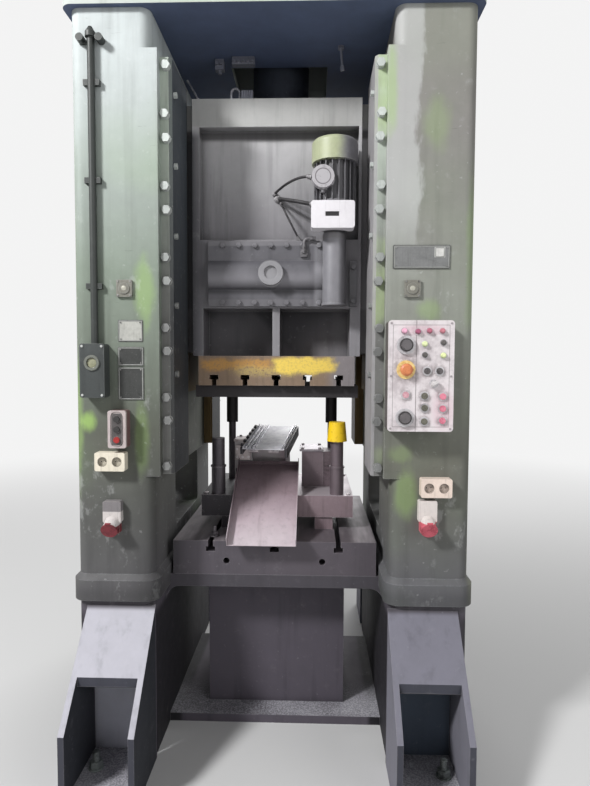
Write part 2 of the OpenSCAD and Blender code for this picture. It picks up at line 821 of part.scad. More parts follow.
module pinion_shaft() {
    color([0.52, 0.52, 0.54]) translate([back_x, 0, back_z]) union() {
        translate([0, gear_y + gear_w + 4, 0]) rotate([90, 0, 0]) linear_extrude(gear_w + 8)
            rotate(gear_dir + 180 + 180 / pinion_teeth) gear_2d(pinion_teeth, 0.8);
        along_y(bulk_y - 12, fly_y + flywheel_w + 40, back_shaft_r);
        along_y(fly_y + flywheel_w + 4, fly_y + flywheel_w + 36, 170);
    }
}

module shaft_bearings() {
    outer = journal_r + bearing_t;
    color([0.60, 0.47, 0.24]) {
        translate([0, 0, crank_z]) for (y = [[-bulk_y - bulk_t - 12, -bulk_y - 0.5],
            [bulk_y + 0.5, bulk_y + bulk_t + 12], [crown_y - wall_t - 12, crown_y + 4]])
            difference() {
                union() {
                    along_y(y[0], y[1], outer);
                    if (y[0] < 0) along_y(y[0], y[0] + 12, outer + 25);
                    if (y[0] > 0 && y[0] < crown_y / 2) along_y(y[1] - 12, y[1], outer + 25);
                    if (y[0] > crown_y / 2) along_y(y[0], y[0] + 12, outer + 25);
                }
                along_y(y[0] - 1, y[1] + 1, journal_r + fit);
            }
        translate([back_x, 0, back_z]) for (y = [[bulk_y + 0.5, bulk_y + bulk_t + 12],
            [crown_y - wall_t - 12, crown_y + 4]]) difference() {
                union() {
                    along_y(y[0], y[1], back_shaft_r + bearing_t);
                    if (y[0] < crown_y / 2)
                        along_y(y[1] - 12, y[1], back_shaft_r + bearing_t + 18);
                    if (y[0] > crown_y / 2) along_y(y[0], y[0] + 12, back_shaft_r + bearing_t + 18);
                }
                along_y(y[0] - 1, y[1] + 1, back_shaft_r + fit);
            }
    }
}

// Half section of a grooved wheel, from its bore to its rim
module grooved_wheel(r, bore, w, hub_w, rim, web, pitch, n) {
    groove = (belt_w + 4) / 2;
    first = -pitch * (n - 1) / 2;
    rotate([90, 0, 0]) rotate_extrude($fn = 96) difference() {
        union() {
            translate([r - rim, -w / 2]) square([rim, w]);
            translate([bore, -hub_w / 2]) square([web, hub_w]);
            translate([bore, -w / 6]) square([r - rim / 2 - bore, w / 3]);
        }
        for (i = [0:n - 1]) translate([r - groove_deep, first + i * pitch]) polygon([
            [0, -belt_w / 2 - 0.5], [groove_deep + 1, -groove], [groove_deep + 1, groove],
            [0, belt_w / 2 + 0.5]]);
    }
}

module flywheel() {
    color([0.35, 0.37, 0.36]) translate([back_x, fly_y + flywheel_w / 2, back_z])
        grooved_wheel(flywheel_r, back_shaft_r + fit, flywheel_w, flywheel_w, 90, 70, belt_pitch,
            belts);
}

module motor_pulley() {
    y = fly_y + flywheel_w / 2;
    color([0.35, 0.36, 0.38]) translate([motor_x, 0, motor_z]) union() {
        translate([0, y, 0]) grooved_wheel(pulley_r, 20, flywheel_w, flywheel_w, 40, 40,
            belt_pitch, belts);
        along_y(crown_y - 60, y + flywheel_w / 2, 22);
    }
}

// Outline of a belt laid round both wheels, s inside or outside the groove bottoms
module belt_outline(s) {
    a = [back_x, back_z];
    b = [motor_x, motor_z];
    ra = flywheel_r - groove_deep + s;
    rb = pulley_r - groove_deep + s;
    d = norm(b - a);
    dir = atan2(b[1] - a[1], b[0] - a[0]);
    lean = acos((ra - rb) / d);
    translate(a) circle(ra, $fn = 96);
    translate(b) circle(rb, $fn = 96);
    polygon([a + ra * polar(dir + lean), b + rb * polar(dir + lean),
        b + rb * polar(dir - lean), a + ra * polar(dir - lean)]);
}

module v_belts() {
    y = fly_y + flywheel_w / 2 - belt_pitch * (belts - 1) / 2;
    color([0.08, 0.08, 0.09]) for (i = [0:belts - 1])
        to_front(y + i * belt_pitch + belt_w / 2, belt_w) difference() {
            belt_outline(belt_t);
            belt_outline(run_gap);
        }
}

module main_motor() {
    y1 = crown_y - 30;
    y0 = y1 - motor_l;
    color([0.30, 0.36, 0.34]) difference() {
        union() {
            translate([motor_x, 0, motor_z]) {
                along_y(y0, y1, motor_r - 14);
                along_y(y0 + 30, y0 + 110, motor_r);
                along_y(y1 - 26, y1 - 6, motor_r);
                for (a = [20:20:340]) if (abs(a - 270) > 45) rotate([0, -a, 0])
                    block(0, motor_r, y0 + 100, y1 - 20, -3, 3);
            }
            both_sides_of(motor_x) block(motor_x + motor_r * 0.45, motor_x + motor_r * 0.85,
                y0 + 120, y1 - 20, crown_top, motor_z - motor_r * 0.35);
            block(motor_x - 60, motor_x + 60, y0 + 150, y0 + 290, motor_z + motor_r - 30,
                motor_z + motor_r + 50);
        }
        translate([motor_x, 0, motor_z]) along_y(y1 - 40, y1 + 1, 22 + 0.3);
    }
}

module both_sides_of(x) {
    children();
    translate([2 * x, 0, 0]) mirror([1, 0, 0]) children();
}

// Die set

module upper_die_shoe() {
    color([0.16, 0.13, 0.13]) {
        difference() {
            block(-395, 395, -330, 290, upper_shoe_z, die_face_z);
            for (s = [-1, 1]) {
                translate([s * post_x, post_y, upper_shoe_z - 1])
                    cylinder(r = bush_r, h = upper_shoe_t + 2);
                translate([s * stop_x, stop_y, upper_shoe_z - 1])
                    cylinder(r = cap_r + 8, h = upper_shoe_t + 2);
            }
        }
        for (s = [-1, 1]) translate([s * post_x, post_y, bush_z]) difference() {
            cylinder(r = bush_r, h = die_face_z - bush_z);
            translate([0, 0, -1]) cylinder(r = post_r + run_gap, h = die_face_z - bush_z + 2);
        }
    }
}

module lower_die_shoe() {
    color([0.47, 0.42, 0.42]) {
        difference() {
            block(-shoe_w / 2, shoe_w / 2, shoe_front, 290, shoe_bottom, shoe_top);
            for (s = [-1, 1]) translate([s * post_x, post_y, shoe_bottom - 1])
                cylinder(r = post_r, h = lower_shoe_t + 2);
        }
        both_sides() block(stop_x - 110, stop_x - 20, shoe_front + 10, 280, bolster_z,
            shoe_bottom);
        block(-240, -150, -62, 80, shoe_top, shoe_top + 240);
        block(120, 235, -60, 120, shoe_top, shoe_top + 190);
        rail_frame() translate([-100, -205, -270]) cube([180, 120, 270]);
    }
}

module guide_posts() {
    color([0.30, 0.26, 0.27]) for (s = [-1, 1]) {
        translate([s * post_x, post_y, shoe_bottom])
            cylinder(r = post_r, h = upper_shoe_z - stroke - 10 - shoe_bottom + upper_shoe_t);
        translate([s * stop_x, stop_y, shoe_top]) union() {
            cylinder(r = stop_r, h = stop_h);
            cylinder(r = stop_r + 3, h = 142);
            translate([0, 0, 136]) cylinder(r = stop_r + 7, h = 8);
        }
    }
    post_cap();
}

module post_cap() {
    color([0.95, 0.78, 0.08]) translate([stop_x, stop_y, shoe_top + stop_h - 12]) difference() {
        cylinder(r1 = cap_r, r2 = cap_r - 9, h = cap_h + 12);
        translate([0, 0, -1]) cylinder(r = stop_r + fit, h = 13);
    }
}

// Frame of the sloping rail: origin at its rear end, its length along -Y
module rail_frame() {
    translate([-20, 126, shoe_top + 300]) rotate([0, 0, -8]) rotate([11.6, 0, 0]) children();
}

module part_rail() {
    color([0.80, 0.80, 0.82]) rail_frame() union() {
        translate([-107, -380, 0]) cube([214, 380, sheet_t]);
        for (x = [-107, -52, 104]) translate([x, -380, 0]) cube([sheet_t, 380, 14]);
    }
}

module chute() {
    tilt = 31.4;
    color([0.50, 0.45, 0.45]) translate([-54, shoe_front, shoe_top + run_gap])
        rotate([tilt, 0, 0]) union() {
            translate([-chute_w / 2, -328, 0]) cube([chute_w, 560, sheet_t]);
            both_sides() translate([chute_w / 2 - sheet_t, -328, 0])
                cube([sheet_t, 560, chute_side]);
            translate([-chute_w / 2, 232 - sheet_t, 0]) cube([chute_w, sheet_t, 22]);
        }
}

// Fittings on the left upright

module conduit() {
    x = -752;
    y = front - 17;
    color([0.12, 0.13, 0.12]) {
        translate([x, y, 1829]) cylinder(r = 15, h = 1262);
        translate([x, front - 21, 3091]) {
            cylinder(r = 21, h = 20);
            translate([0, 0, 20]) cylinder(r1 = 21, r2 = 8, h = 22);
        }
        for (z = [2060, 2500, 2900]) difference() {
            block(x - 34, x + 34, front - 20, front, z, z + 24);
            translate([x, y, z - 1]) cylinder(r = 15 + fit, h = 26);
        }
        for (s = [-1, 1]) translate([x + s * 40, 0, 3085]) along_y(front - 40, front, 16);
        block(x - 50, x - 21.5, front - 12, front, 3070, 3084);
    }
}

module junction_box() {
    w = 105;
    h = 227;
    conduit();
    translate([-748, 0, 1715]) {
        color([0.20, 0.21, 0.20]) difference() {
            to_front(front, 65) rounded(w, h, 10);
            translate([0, 0, 33]) to_front(front - 62, 5) circle(32);
        }
        color([0.30, 0.31, 0.30]) translate([0, 0, 33]) to_front(front - 62, 9) difference() {
            circle(32);
            circle(22);
        }
        color([0.55, 0.55, 0.55]) for (x = [-1, 1], z = [-1, 1])
            translate([x * (w / 2 - 11), 0, z * (h / 2 - 11)]) to_front(front - 65, 3) circle(5);
    }
}

module blank_plate(x, z, w, h, t) {
    translate([x, 0, z]) to_front(front, t) rounded(w, h, 4);
}

module side_plates() {
    color([0.30, 0.32, 0.30]) {
        blank_plate(-603, 1660, 111, 141, 3);
        blank_plate(-603, 1776, 111, 81, 3);
        blank_plate(-603, 1885, 107, 93, 2);
        blank_plate(627, 2196, 238, 99, 4);
        for (x = [-626, 590]) {
            difference() {
                blank_plate(x, 2064, 66, 72, 12);
                translate([x, 0, 2064]) to_front(front - 8, 6) circle(24);
            }
            translate([x, 0, 2064]) to_front(front - 8, 8) circle(23);
        }
    }
}

module button_station() {
    color([0.42, 0.41, 0.40]) translate([-648, 0, 1468]) difference() {
        to_front(front, 60) rounded(77, 159, 9);
        for (i = [-1:1]) translate([0, 0, i * 44]) to_front(front - 60 + 27, 30)
            circle(station_r + run_gap);
        to_front(front - 57, 5) difference() {
            rounded(54, 150, 24);
            rounded(46, 142, 20);
        }
    }
}
station_r = 13;

module station_button(i, c) {
    color(c) translate([-648, 0, 1468 - i * 44]) to_front(front - 60 + 20, 27)
        circle(station_r);
}
module station_button_top() station_button(-1, [0.15, 0.15, 0.16]);
module station_button_middle() station_button(0, [0.15, 0.15, 0.16]);
module station_button_bottom() station_button(1, [0.65, 0.10, 0.10]);

// Double socket with two round wells, and the body of a three-phase wall socket
module double_socket() {
    difference() {
        to_front(front, 45) rounded(130, 80, 8);
        for (s = [-1, 1]) translate([s * 31, 0, 0]) {
            to_front(front - 30, 16) circle(21);
            for (p = [-1, 1]) translate([p * 9.5, 0, 0]) to_front(front - 12, 20) circle(2.6);
        }
    }
}

module phase_socket() {
    difference() {
        union() {
            to_front(front, 34) translate([0, 30]) rounded(78, 94, 8);
            to_front(front, 26) translate([0, -36]) rounded(62, 60, 10);
            translate([0, front - 8, -8]) rotate([118, 0, 0]) cylinder(r = 32, h = 66);
        }
        translate([0, front - 8, -8]) rotate([118, 0, 0]) translate([0, 0, 30])
            cylinder(r = 26, h = 40);
        block(-60, 60, front, 0, -90, 90);
    }
}

left_socket = [-683, 1078];
right_socket = [665, 1096];

module sockets() {
    color([0.80, 0.78, 0.68]) {
        translate([-686, 0, 1327]) double_socket();
        translate([698, 0, 1228]) double_socket();
    }
    color([0.60, 0.16, 0.15]) {
        translate([left_socket[0], 0, left_socket[1]]) phase_socket();
        translate([right_socket[0], 0, right_socket[1]]) phase_socket();
    }
}

// Spring flap over the mouth of the wall socket, with its hinge knuckle above
module socket_flap() {
    translate([0, front - 8, -8]) rotate([118, 0, 0]) {
        translate([0, 0, 66 + run_gap]) cylinder(r = 35, h = 5);
        translate([0, 38, 66]) along_x(-12, 12, 3);
        translate([-12, 30, 66 + run_gap + 2]) cube([24, 8, 3]);
    }
}

module socket_lid_left() {
    color([0.72, 0.71, 0.70]) translate([left_socket[0], 0, left_socket[1]]) socket_flap();
}

module socket_lid_right() {
    color([0.72, 0.71, 0.70]) translate([right_socket[0], 0, right_socket[1]]) socket_flap();
}

// Control box on the right upright

module control_box() {
    cx = panel_x + panel_w / 2;
    cz = panel_bottom + panel_h / 2;
    color([0.62, 0.62, 0.62]) translate([cx, 0, cz]) difference() {
        to_front(front, panel_d) rounded(panel_w, panel_h, 14);
        to_front(front - 4, panel_d) rounded(panel_w - 10, panel_h - 10, 10);
    }
}

// Places on the lid, measured from its lower left corner
push_at = [
    ["pink_button", 72, 150], ["black_left", 157, 247], ["black_right", 207, 247],
    ["grey_top", 148, 146], ["grey_middle", 149, 97], ["grey_bottom", 148, 42],
    ["red_top", 222, 144], ["red_middle", 222, 95], ["red_bottom", 221, 46],
];
palm_at = [[71, 352], [69, 57]];
stop_at = [72, 252];
selector_at = [184, 196];
lamp_at = [[64, 408], [118, 406], [164, 409], [216, 409], [146, 356], [221, 310], [221, 362],
    [147, 312]];

module lid_hole(p, r) {
    translate([panel_x + p[0], 0, panel_bottom + p[1]]) to_front(panel_y + 1, lid_t + 2) circle(r);
}

module lid_ring(p, r_in, r_out, h) {
    translate([panel_x + p[0], 0, panel_bottom + p[1]]) to_front(lid_y, h) difference() {
        circle(r_out);
        circle(r_in);
    }
}

module control_lid() {
    cx = panel_x + panel_w / 2;
    cz = panel_bottom + panel_h / 2;
    color([0.80, 0.76, 0.77]) difference() {
        translate([cx, 0, cz]) to_front(panel_y, lid_t) rounded(panel_w, panel_h, 14);
        for (b = push_at) lid_hole([b[1], b[2]], button_r + run_gap);
        for (p = palm_at) lid_hole(p, palm_r + run_gap);
        lid_hole(stop_at, 11 + run_gap);
        lid_hole(selector_at, 11 + run_gap);
        translate([panel_x + 113, 0, cz]) to_front(lid_y + 1, 2) square([2, panel_h - 24],
            center = true);
    }
    color([0.5, 0.5, 0.5]) for (x = [12, panel_w - 12], z = [12, panel_h / 2, panel_h - 12])
        translate([panel_x + x, 0, panel_bottom + z]) to_front(lid_y, 2.5) circle(4.5);
}

module panel_fittings() {
    color([0.70, 0.69, 0.70]) {
        for (b = push_at) lid_ring([b[1], b[2]], button_r + run_gap, button_r + 6, collar_ring);
        for (p = palm_at) lid_ring(p, palm_r + run_gap, palm_r + 11, 2 * collar_ring);
        lid_ring(stop_at, 11 + run_gap, 38, 3);
        lid_ring(selector_at, 11 + run_gap, 18, collar_ring);
    }
    color([0.75, 0.25, 0.35]) for (p = lamp_at)
        translate([panel_x + p[0], lid_y, panel_bottom + p[1]]) rotate([90, 0, 0]) {
            cylinder(r = 14, h = 5);
            translate([0, 0, 5]) cylinder(r1 = 11, r2 = 9, h = 9);
        }
}

module push_button(i, c) {
    b = push_at[i];
    color(c) translate([panel_x + b[1], 0, panel_bottom + b[2]]) union() {
        to_front(panel_y + 14, lid_t + 14 + collar_ring + button_travel + 1) circle(button_r - 1);
        to_front(panel_y, lid_t + collar_ring + button_travel) circle(button_r);
    }
}

module palm_button(i) {
    p = palm_at[i];
    h = lid_t + 2 * collar_ring + palm_travel + 1;
    color([0.08, 0.08, 0.09]) translate([panel_x + p[0], 0, panel_bottom + p[1]]) union() {
        to_front(panel_y, h) circle(palm_r);
        to_front(panel_y - h, 4) circle(palm_r - 6);
    }
}

module stop_button() {
    color([0.88, 0.35, 0.12]) translate([panel_x + stop_at[0], 0, panel_bottom + stop_at[1]])
        union() {
            to_front(panel_y + 20, lid_t + 20 + 16) circle(11);
            to_front(lid_y - 14, 9) circle(25);
            translate([0, lid_y - 23, 0]) rotate([90, 0, 0]) cylinder(r1 = 25, r2 = 17, h = 6);
        }
}

module selector_knob() {
    color([0.82, 0.82, 0.82]) translate([panel_x + selector_at[0], 0,
        panel_bottom + selector_at[1]]) union() {
            to_front(panel_y + 20, lid_t + 20 + 12) circle(11);
            to_front(lid_y - 11, 12) rotate(35) square([34, 11], center = true);
        }
}

module palm_button_top() palm_button(0);
module palm_button_bottom() palm_button(1);
module pink_button() push_button(0, [0.85, 0.55, 0.60]);
module black_button_left() push_button(1, [0.20, 0.20, 0.22]);
module black_button_right() push_button(2, [0.20, 0.20, 0.22]);
module grey_button_top() push_button(3, [0.32, 0.33, 0.28]);
module grey_button_middle() push_button(4, [0.32, 0.33, 0.28]);
module grey_button_bottom() push_button(5, [0.32, 0.33, 0.28]);
module red_button_top() push_button(6, [0.80, 0.30, 0.38]);
module red_button_middle() push_button(7, [0.80, 0.30, 0.38]);
module red_button_bottom() push_button(8, [0.80, 0.30, 0.38]);

bed();
left_upright();
right_upright();
crown();
tie_rods();
bolster();
gib_brackets();
gib_bolts();
junction_box();
side_plates();
control_box();
control_lid();
panel_fittings();
button_station();
sockets();
main_motor();
v_belts();
shaft_bearings();
lower_die_shoe();
guide_posts();
part_rail();
chute();
motor_pulley();
flywheel();
pinion_shaft();
crankshaft();
bull_gear();
conrod();
crank_pin();
adjusting_screw();
slide_body();
slide_plate();
worm_wheel();
worm_shaft();
adjust_cover();
adjust_motor();
fan_cowl();
counter_box();
motor_cable();
power_cable();
sensor_cable();
upper_die_shoe();
socket_lid_left();
socket_lid_right();
palm_button_top();
palm_button_bottom();
stop_button();
pink_button();
black_button_left();
black_button_right();
selector_knob();
grey_button_top();
grey_button_middle();
grey_button_bottom();
red_button_top();
red_button_middle();
red_button_bottom();
station_button_top();
station_button_middle();
station_button_bottom();
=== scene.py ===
import math

import bmesh
import bpy
from mathutils import Matrix, Vector


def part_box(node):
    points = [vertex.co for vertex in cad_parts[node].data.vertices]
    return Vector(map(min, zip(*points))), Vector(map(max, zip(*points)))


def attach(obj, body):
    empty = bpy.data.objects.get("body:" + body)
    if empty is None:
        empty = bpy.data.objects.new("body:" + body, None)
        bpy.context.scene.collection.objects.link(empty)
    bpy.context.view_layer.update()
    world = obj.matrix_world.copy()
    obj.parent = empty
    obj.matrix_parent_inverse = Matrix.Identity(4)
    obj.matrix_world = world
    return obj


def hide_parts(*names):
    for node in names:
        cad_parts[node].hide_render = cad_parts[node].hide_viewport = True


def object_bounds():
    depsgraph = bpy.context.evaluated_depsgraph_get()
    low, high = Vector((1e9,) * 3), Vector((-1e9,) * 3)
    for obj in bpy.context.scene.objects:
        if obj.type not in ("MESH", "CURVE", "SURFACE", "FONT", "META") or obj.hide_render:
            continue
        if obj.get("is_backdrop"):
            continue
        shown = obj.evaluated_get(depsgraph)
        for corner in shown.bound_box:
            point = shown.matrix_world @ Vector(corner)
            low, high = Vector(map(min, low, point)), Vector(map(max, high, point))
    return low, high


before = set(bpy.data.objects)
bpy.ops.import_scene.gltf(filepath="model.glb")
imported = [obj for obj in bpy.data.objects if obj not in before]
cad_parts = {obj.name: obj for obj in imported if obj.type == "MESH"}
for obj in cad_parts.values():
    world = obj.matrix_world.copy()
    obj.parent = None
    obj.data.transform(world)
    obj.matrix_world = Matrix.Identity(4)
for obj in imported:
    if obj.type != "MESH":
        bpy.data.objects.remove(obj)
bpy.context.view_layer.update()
print("press loaded:", len(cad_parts), "nodes")


# colours and shader expressions

def paint(red, green, blue):
    return (*(((c / 255 + 0.055) / 1.055) ** 2.4 if c > 10 else c / 3295 for c in (red, green, blue)), 1.0)


def palette(**values):  # three numbers are a colour, two are the ends of a fade, lists stay as they are
    return {name: paint(*v) if isinstance(v, tuple) and len(v) == 3 else v for name, v in values.items()}


class Field:
    def __init__(self, nodes, socket):
        self.nodes = nodes
        self.socket = socket

    def maths(self, operation, *others):
        return self.nodes.node("ShaderNodeMath", {"operation": operation}, *others)

    def __add__(self, other):
        return self.maths("ADD", self, other)

    def __radd__(self, other):
        return self.maths("ADD", other, self)

    def __sub__(self, other):
        return self.maths("SUBTRACT", self, other)

    def __rsub__(self, other):
        return self.maths("SUBTRACT", other, self)

    def __mul__(self, other):
        return self.maths("MULTIPLY", self, other)

    def __rmul__(self, other):
        return self.maths("MULTIPLY", other, self)

    def __truediv__(self, other):
        return self.maths("DIVIDE", self, other)

    def __pow__(self, other):
        return self.maths("POWER", self, other)

    def root(self):
        return self.maths("SQRT", self)

    def most(self, other):
        return self.maths("MAXIMUM", self, other)

    def size(self):
        return self.maths("ABSOLUTE", self)


class Nodes:
    def __init__(self, tree):
        self.tree = tree

    def feed(self, socket, value):
        if isinstance(value, Field):
            self.tree.links.new(value.socket, socket)
        elif value is not None:
            socket.default_value = value

    def node(self, kind, settings, *values, output=0, **named):
        made = self.tree.nodes.new(kind)
        for key, value in settings.items():
            if key == "stops":
                ramp = made.color_ramp
                while len(ramp.elements) < len(value):
                    ramp.elements.new(0.5)
                for element, (at, tone) in zip(ramp.elements, value):
                    element.position = at
                    element.color = paint(*tone)
            else:
                setattr(made, key, value)
        for key, value in list(enumerate(values)) + [(k.replace("_", " "), v) for k, v in named.items()]:
            self.feed(made.inputs[key], value)
        return Field(self, made.outputs[output])


class Look(Nodes):
    def __init__(self, name, **fixed):
        self.material = bpy.data.materials.new(name)
        self.material.use_nodes = True
        super().__init__(self.material.node_tree)
        self.shader = self.tree.nodes["Principled BSDF"]
        for socket, value in fixed.items():
            self.shader.inputs[socket.replace("_", " ")].default_value = value
        self.place = self.node("ShaderNodeTexCoord", {}, output="Object")
        parts = self.node("ShaderNodeSeparateXYZ", {}, self.place).socket.node.outputs
        self.x, self.y, self.z = (Field(self, parts[k]) for k in "XYZ")

    def noise(self, scale, detail, rough, stretch=(1, 1, 1), shift=(0, 0, 0)):
        place = self.place
        if stretch != (1, 1, 1) or shift != (0, 0, 0):
            place = self.node("ShaderNodeVectorMath", {"operation": "MULTIPLY"}, place, stretch)
            place = self.node("ShaderNodeVectorMath", {"operation": "ADD"}, place, shift)
        return self.node("ShaderNodeTexNoise", {}, place, None, scale, detail, rough)

    def rise(self, value, low, high):
        return self.node("ShaderNodeMapRange", {"interpolation_type": "SMOOTHSTEP"}, value, low, high, 0.0, 1.0)

    def fall(self, value, low, high):
        return 1 - self.rise(value, low, high)

    def band(self, value, low, high, soft=0.004):
        return self.rise(value, low - soft, low + soft) * self.fall(value, high - soft, high + soft)

    def away(self, x, z):
        return ((self.x - x) ** 2 + (self.z - z) ** 2).root()

    def spot(self, x, z, radius, soft=0.0004):
        return self.fall(self.away(x, z), radius - soft, radius + soft)

    def onRight(self, soft=0.1):
        return self.rise(self.x, -soft, soft)

    def facing(self, axis):
        normal = self.node("ShaderNodeNewGeometry", {}, output="Normal")
        return self.node("ShaderNodeSeparateXYZ", {}, normal, output=axis)

    def mix(self, first, second, mask):
        return self.node("ShaderNodeMix", {"data_type": "RGBA"}, mask, *[None] * 5, first, second, output=2)

    def scaled(self, colour, amount):
        tone = colour if isinstance(colour, Field) else colour[:3]
        return self.node("ShaderNodeVectorMath", {"operation": "SCALE"}, tone, Scale=amount)

    def ramp(self, value, stops):
        return self.node("ShaderNodeValToRGB", {"stops": stops}, value)

    def rounded(self, radius):
        return self.node("ShaderNodeBevel", {"samples": 4}, radius)

    def edges(self, radius, ragged=0.5):
        flat = self.node("ShaderNodeNewGeometry", {}, output="Normal")
        dot = self.node("ShaderNodeVectorMath", {"operation": "DOT_PRODUCT"}, self.rounded(radius), flat, output="Value")
        return self.rise(dot + (self.noise(18, 4, 0.65, shift=(5, 8, 2)) - 0.5) * ragged, 0.97, 0.74)

    def corners(self, reach):
        clear = self.node("ShaderNodeAmbientOcclusion", {"samples": 4, "only_local": True}, None, reach, output="AO")
        return self.rise(clear, 0.85, 0.35)

    def worn(self, base, deep, pale, streaks=0.3, chips=0.3, scale=1.0):  # two tones in clouds, drips and chips
        broad = self.noise(1.4 * scale, 4, 0.6)
        self.fine = self.noise(11 * scale, 5, 0.65)
        drip = self.noise(3.2 * scale, 4, 0.6, stretch=(5, 5, 0.45), shift=(3, 1, 2))
        colour = self.mix(base, deep, self.rise(broad * 0.6 + self.fine * 0.4, 0.44, 0.66))
        colour = self.mix(colour, deep, self.rise(drip, 0.54, 0.74) * streaks)
        return self.mix(colour, pale, self.rise(self.noise(26 * scale, 3, 0.6), 0.64, 0.72) * chips)

    def aged(self, base, piece):  # one tone made lighter and darker
        spread, streaks, flecks, scale, edge, dirt = piece["wear"]
        self.broad = self.noise(1.3 * scale, 4, 0.6)
        self.fine = self.noise(12 * scale, 5, 0.65)
        drip = self.rise(self.noise(3.0 * scale, 4, 0.6, stretch=(4.5, 4.5, 0.35), shift=(3, 1, 2)), 0.5, 0.74)
        colour = self.scaled(base, 1 + (self.broad * 0.6 + self.fine * 0.4 - 0.5) * (spread * 2) - drip * streaks)
        fleck = self.rise(self.noise(34 * scale, 3, 0.6, shift=(9, 4, 1)), 0.66, 0.73)
        colour = self.mix(colour, piece["bare"], fleck * flecks)
        # grime and painted shade darken the corners, from an occlusion mask
        if dirt:
            colour = self.scaled(colour, 1 - self.corners(0.05) * dirt)
        if edge:
            colour = self.mix(colour, piece["bare"], self.edges(0.006) * edge)
        return colour

    def finish(self, colour, rough, metal=0.0, strength=0.2, soft=0.0, grain=0.2, depth=0.002, relief=None):
        for socket, value in (("Base Color", colour), ("Roughness", rough + self.fine * grain), ("Metallic", metal)):
            self.feed(self.shader.inputs[socket], value)
        bump = self.node("ShaderNodeBump", {}, Strength=strength, Distance=depth, Height=relief or self.fine)
        if soft:
            self.feed(bump.socket.node.inputs["Normal"], self.rounded(soft))
        self.feed(self.shader.inputs["Normal"], bump)
        return self.material


def agedLook(name, piece, rough, metal=0.0, strength=0.2, soft=0.0, **fixed):
    look = Look(name, **fixed)
    return look.finish(look.aged(piece["base"], piece), rough, metal, strength, soft)


def steelLook(name, base, deep, pale, metal, rough, streaks=0.3, chips=0.4, scale=2.0):
    look = Look(name)
    colour = look.worn(paint(*base), paint(*deep), paint(*pale), streaks, chips, scale)
    return look.finish(colour, rough, metal, 0.15, depth=0.001)


def dressed(node, material):
    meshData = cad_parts[node].data
    meshData.materials.clear()
    meshData.materials.append(material)


# frame paint; each wear is spread, streaks, flecks, scale, bare edges, and dirt with painted shade in the corners

upright = palette(
    green=(150, 176, 132), bright=(158, 192, 108), olive=(150, 154, 118), dirt=(66, 65, 64), bare=(212, 214, 214),
    wear=[0.34, 0.2, 0.22, 1.0, 0.35, 0.5], front=(-0.66, -0.58), tall=(0.7, 3.2), foot=(0.735, 0.80), rim=(0.85, 0.89),
    oldSide=(0.60, 0.625), oldTop=(2.0, 2.5), rubbed=(2.2, 2.9),
)
uprightSides = {  # a green patch is x, z, half width, half height and strength
    "left": {
        "side": -1, "film": 0.26,
        "tones": [(0.04, (90, 89, 91)), (0.30, (94, 97, 88)), (0.58, (130, 141, 129)), (0.94, (190, 197, 197))],
        "greens": [(-0.545, 2.05, 0.045, 0.15, 0.42), (-0.793, 1.497, 0.035, 0.045, 0.8),
                   (-0.84, 1.5, 0.03, 0.3, 0.35), (-0.56, 1.42, 0.03, 0.18, 0.3)],
    },
    "right": {
        "side": 1, "film": 0.12,
        "tones": [(0.04, (92, 92, 95)), (0.24, (106, 107, 98)), (0.50, (146, 149, 141)), (0.70, (130, 129, 125)),
                  (0.94, (134, 131, 128))],
        "greens": [(0.573, 1.20, 0.05, 0.12, 0.3), (0.55, 1.36, 0.05, 0.04, 0.2), (0.495, 2.9, 0.03, 0.2, 0.45),
                   (0.655, 1.975, 0.05, 0.05, 0.3), (0.84, 2.2, 0.03, 0.3, 0.25), (0.68, 2.75, 0.06, 0.12, 0.2)],
    },
}


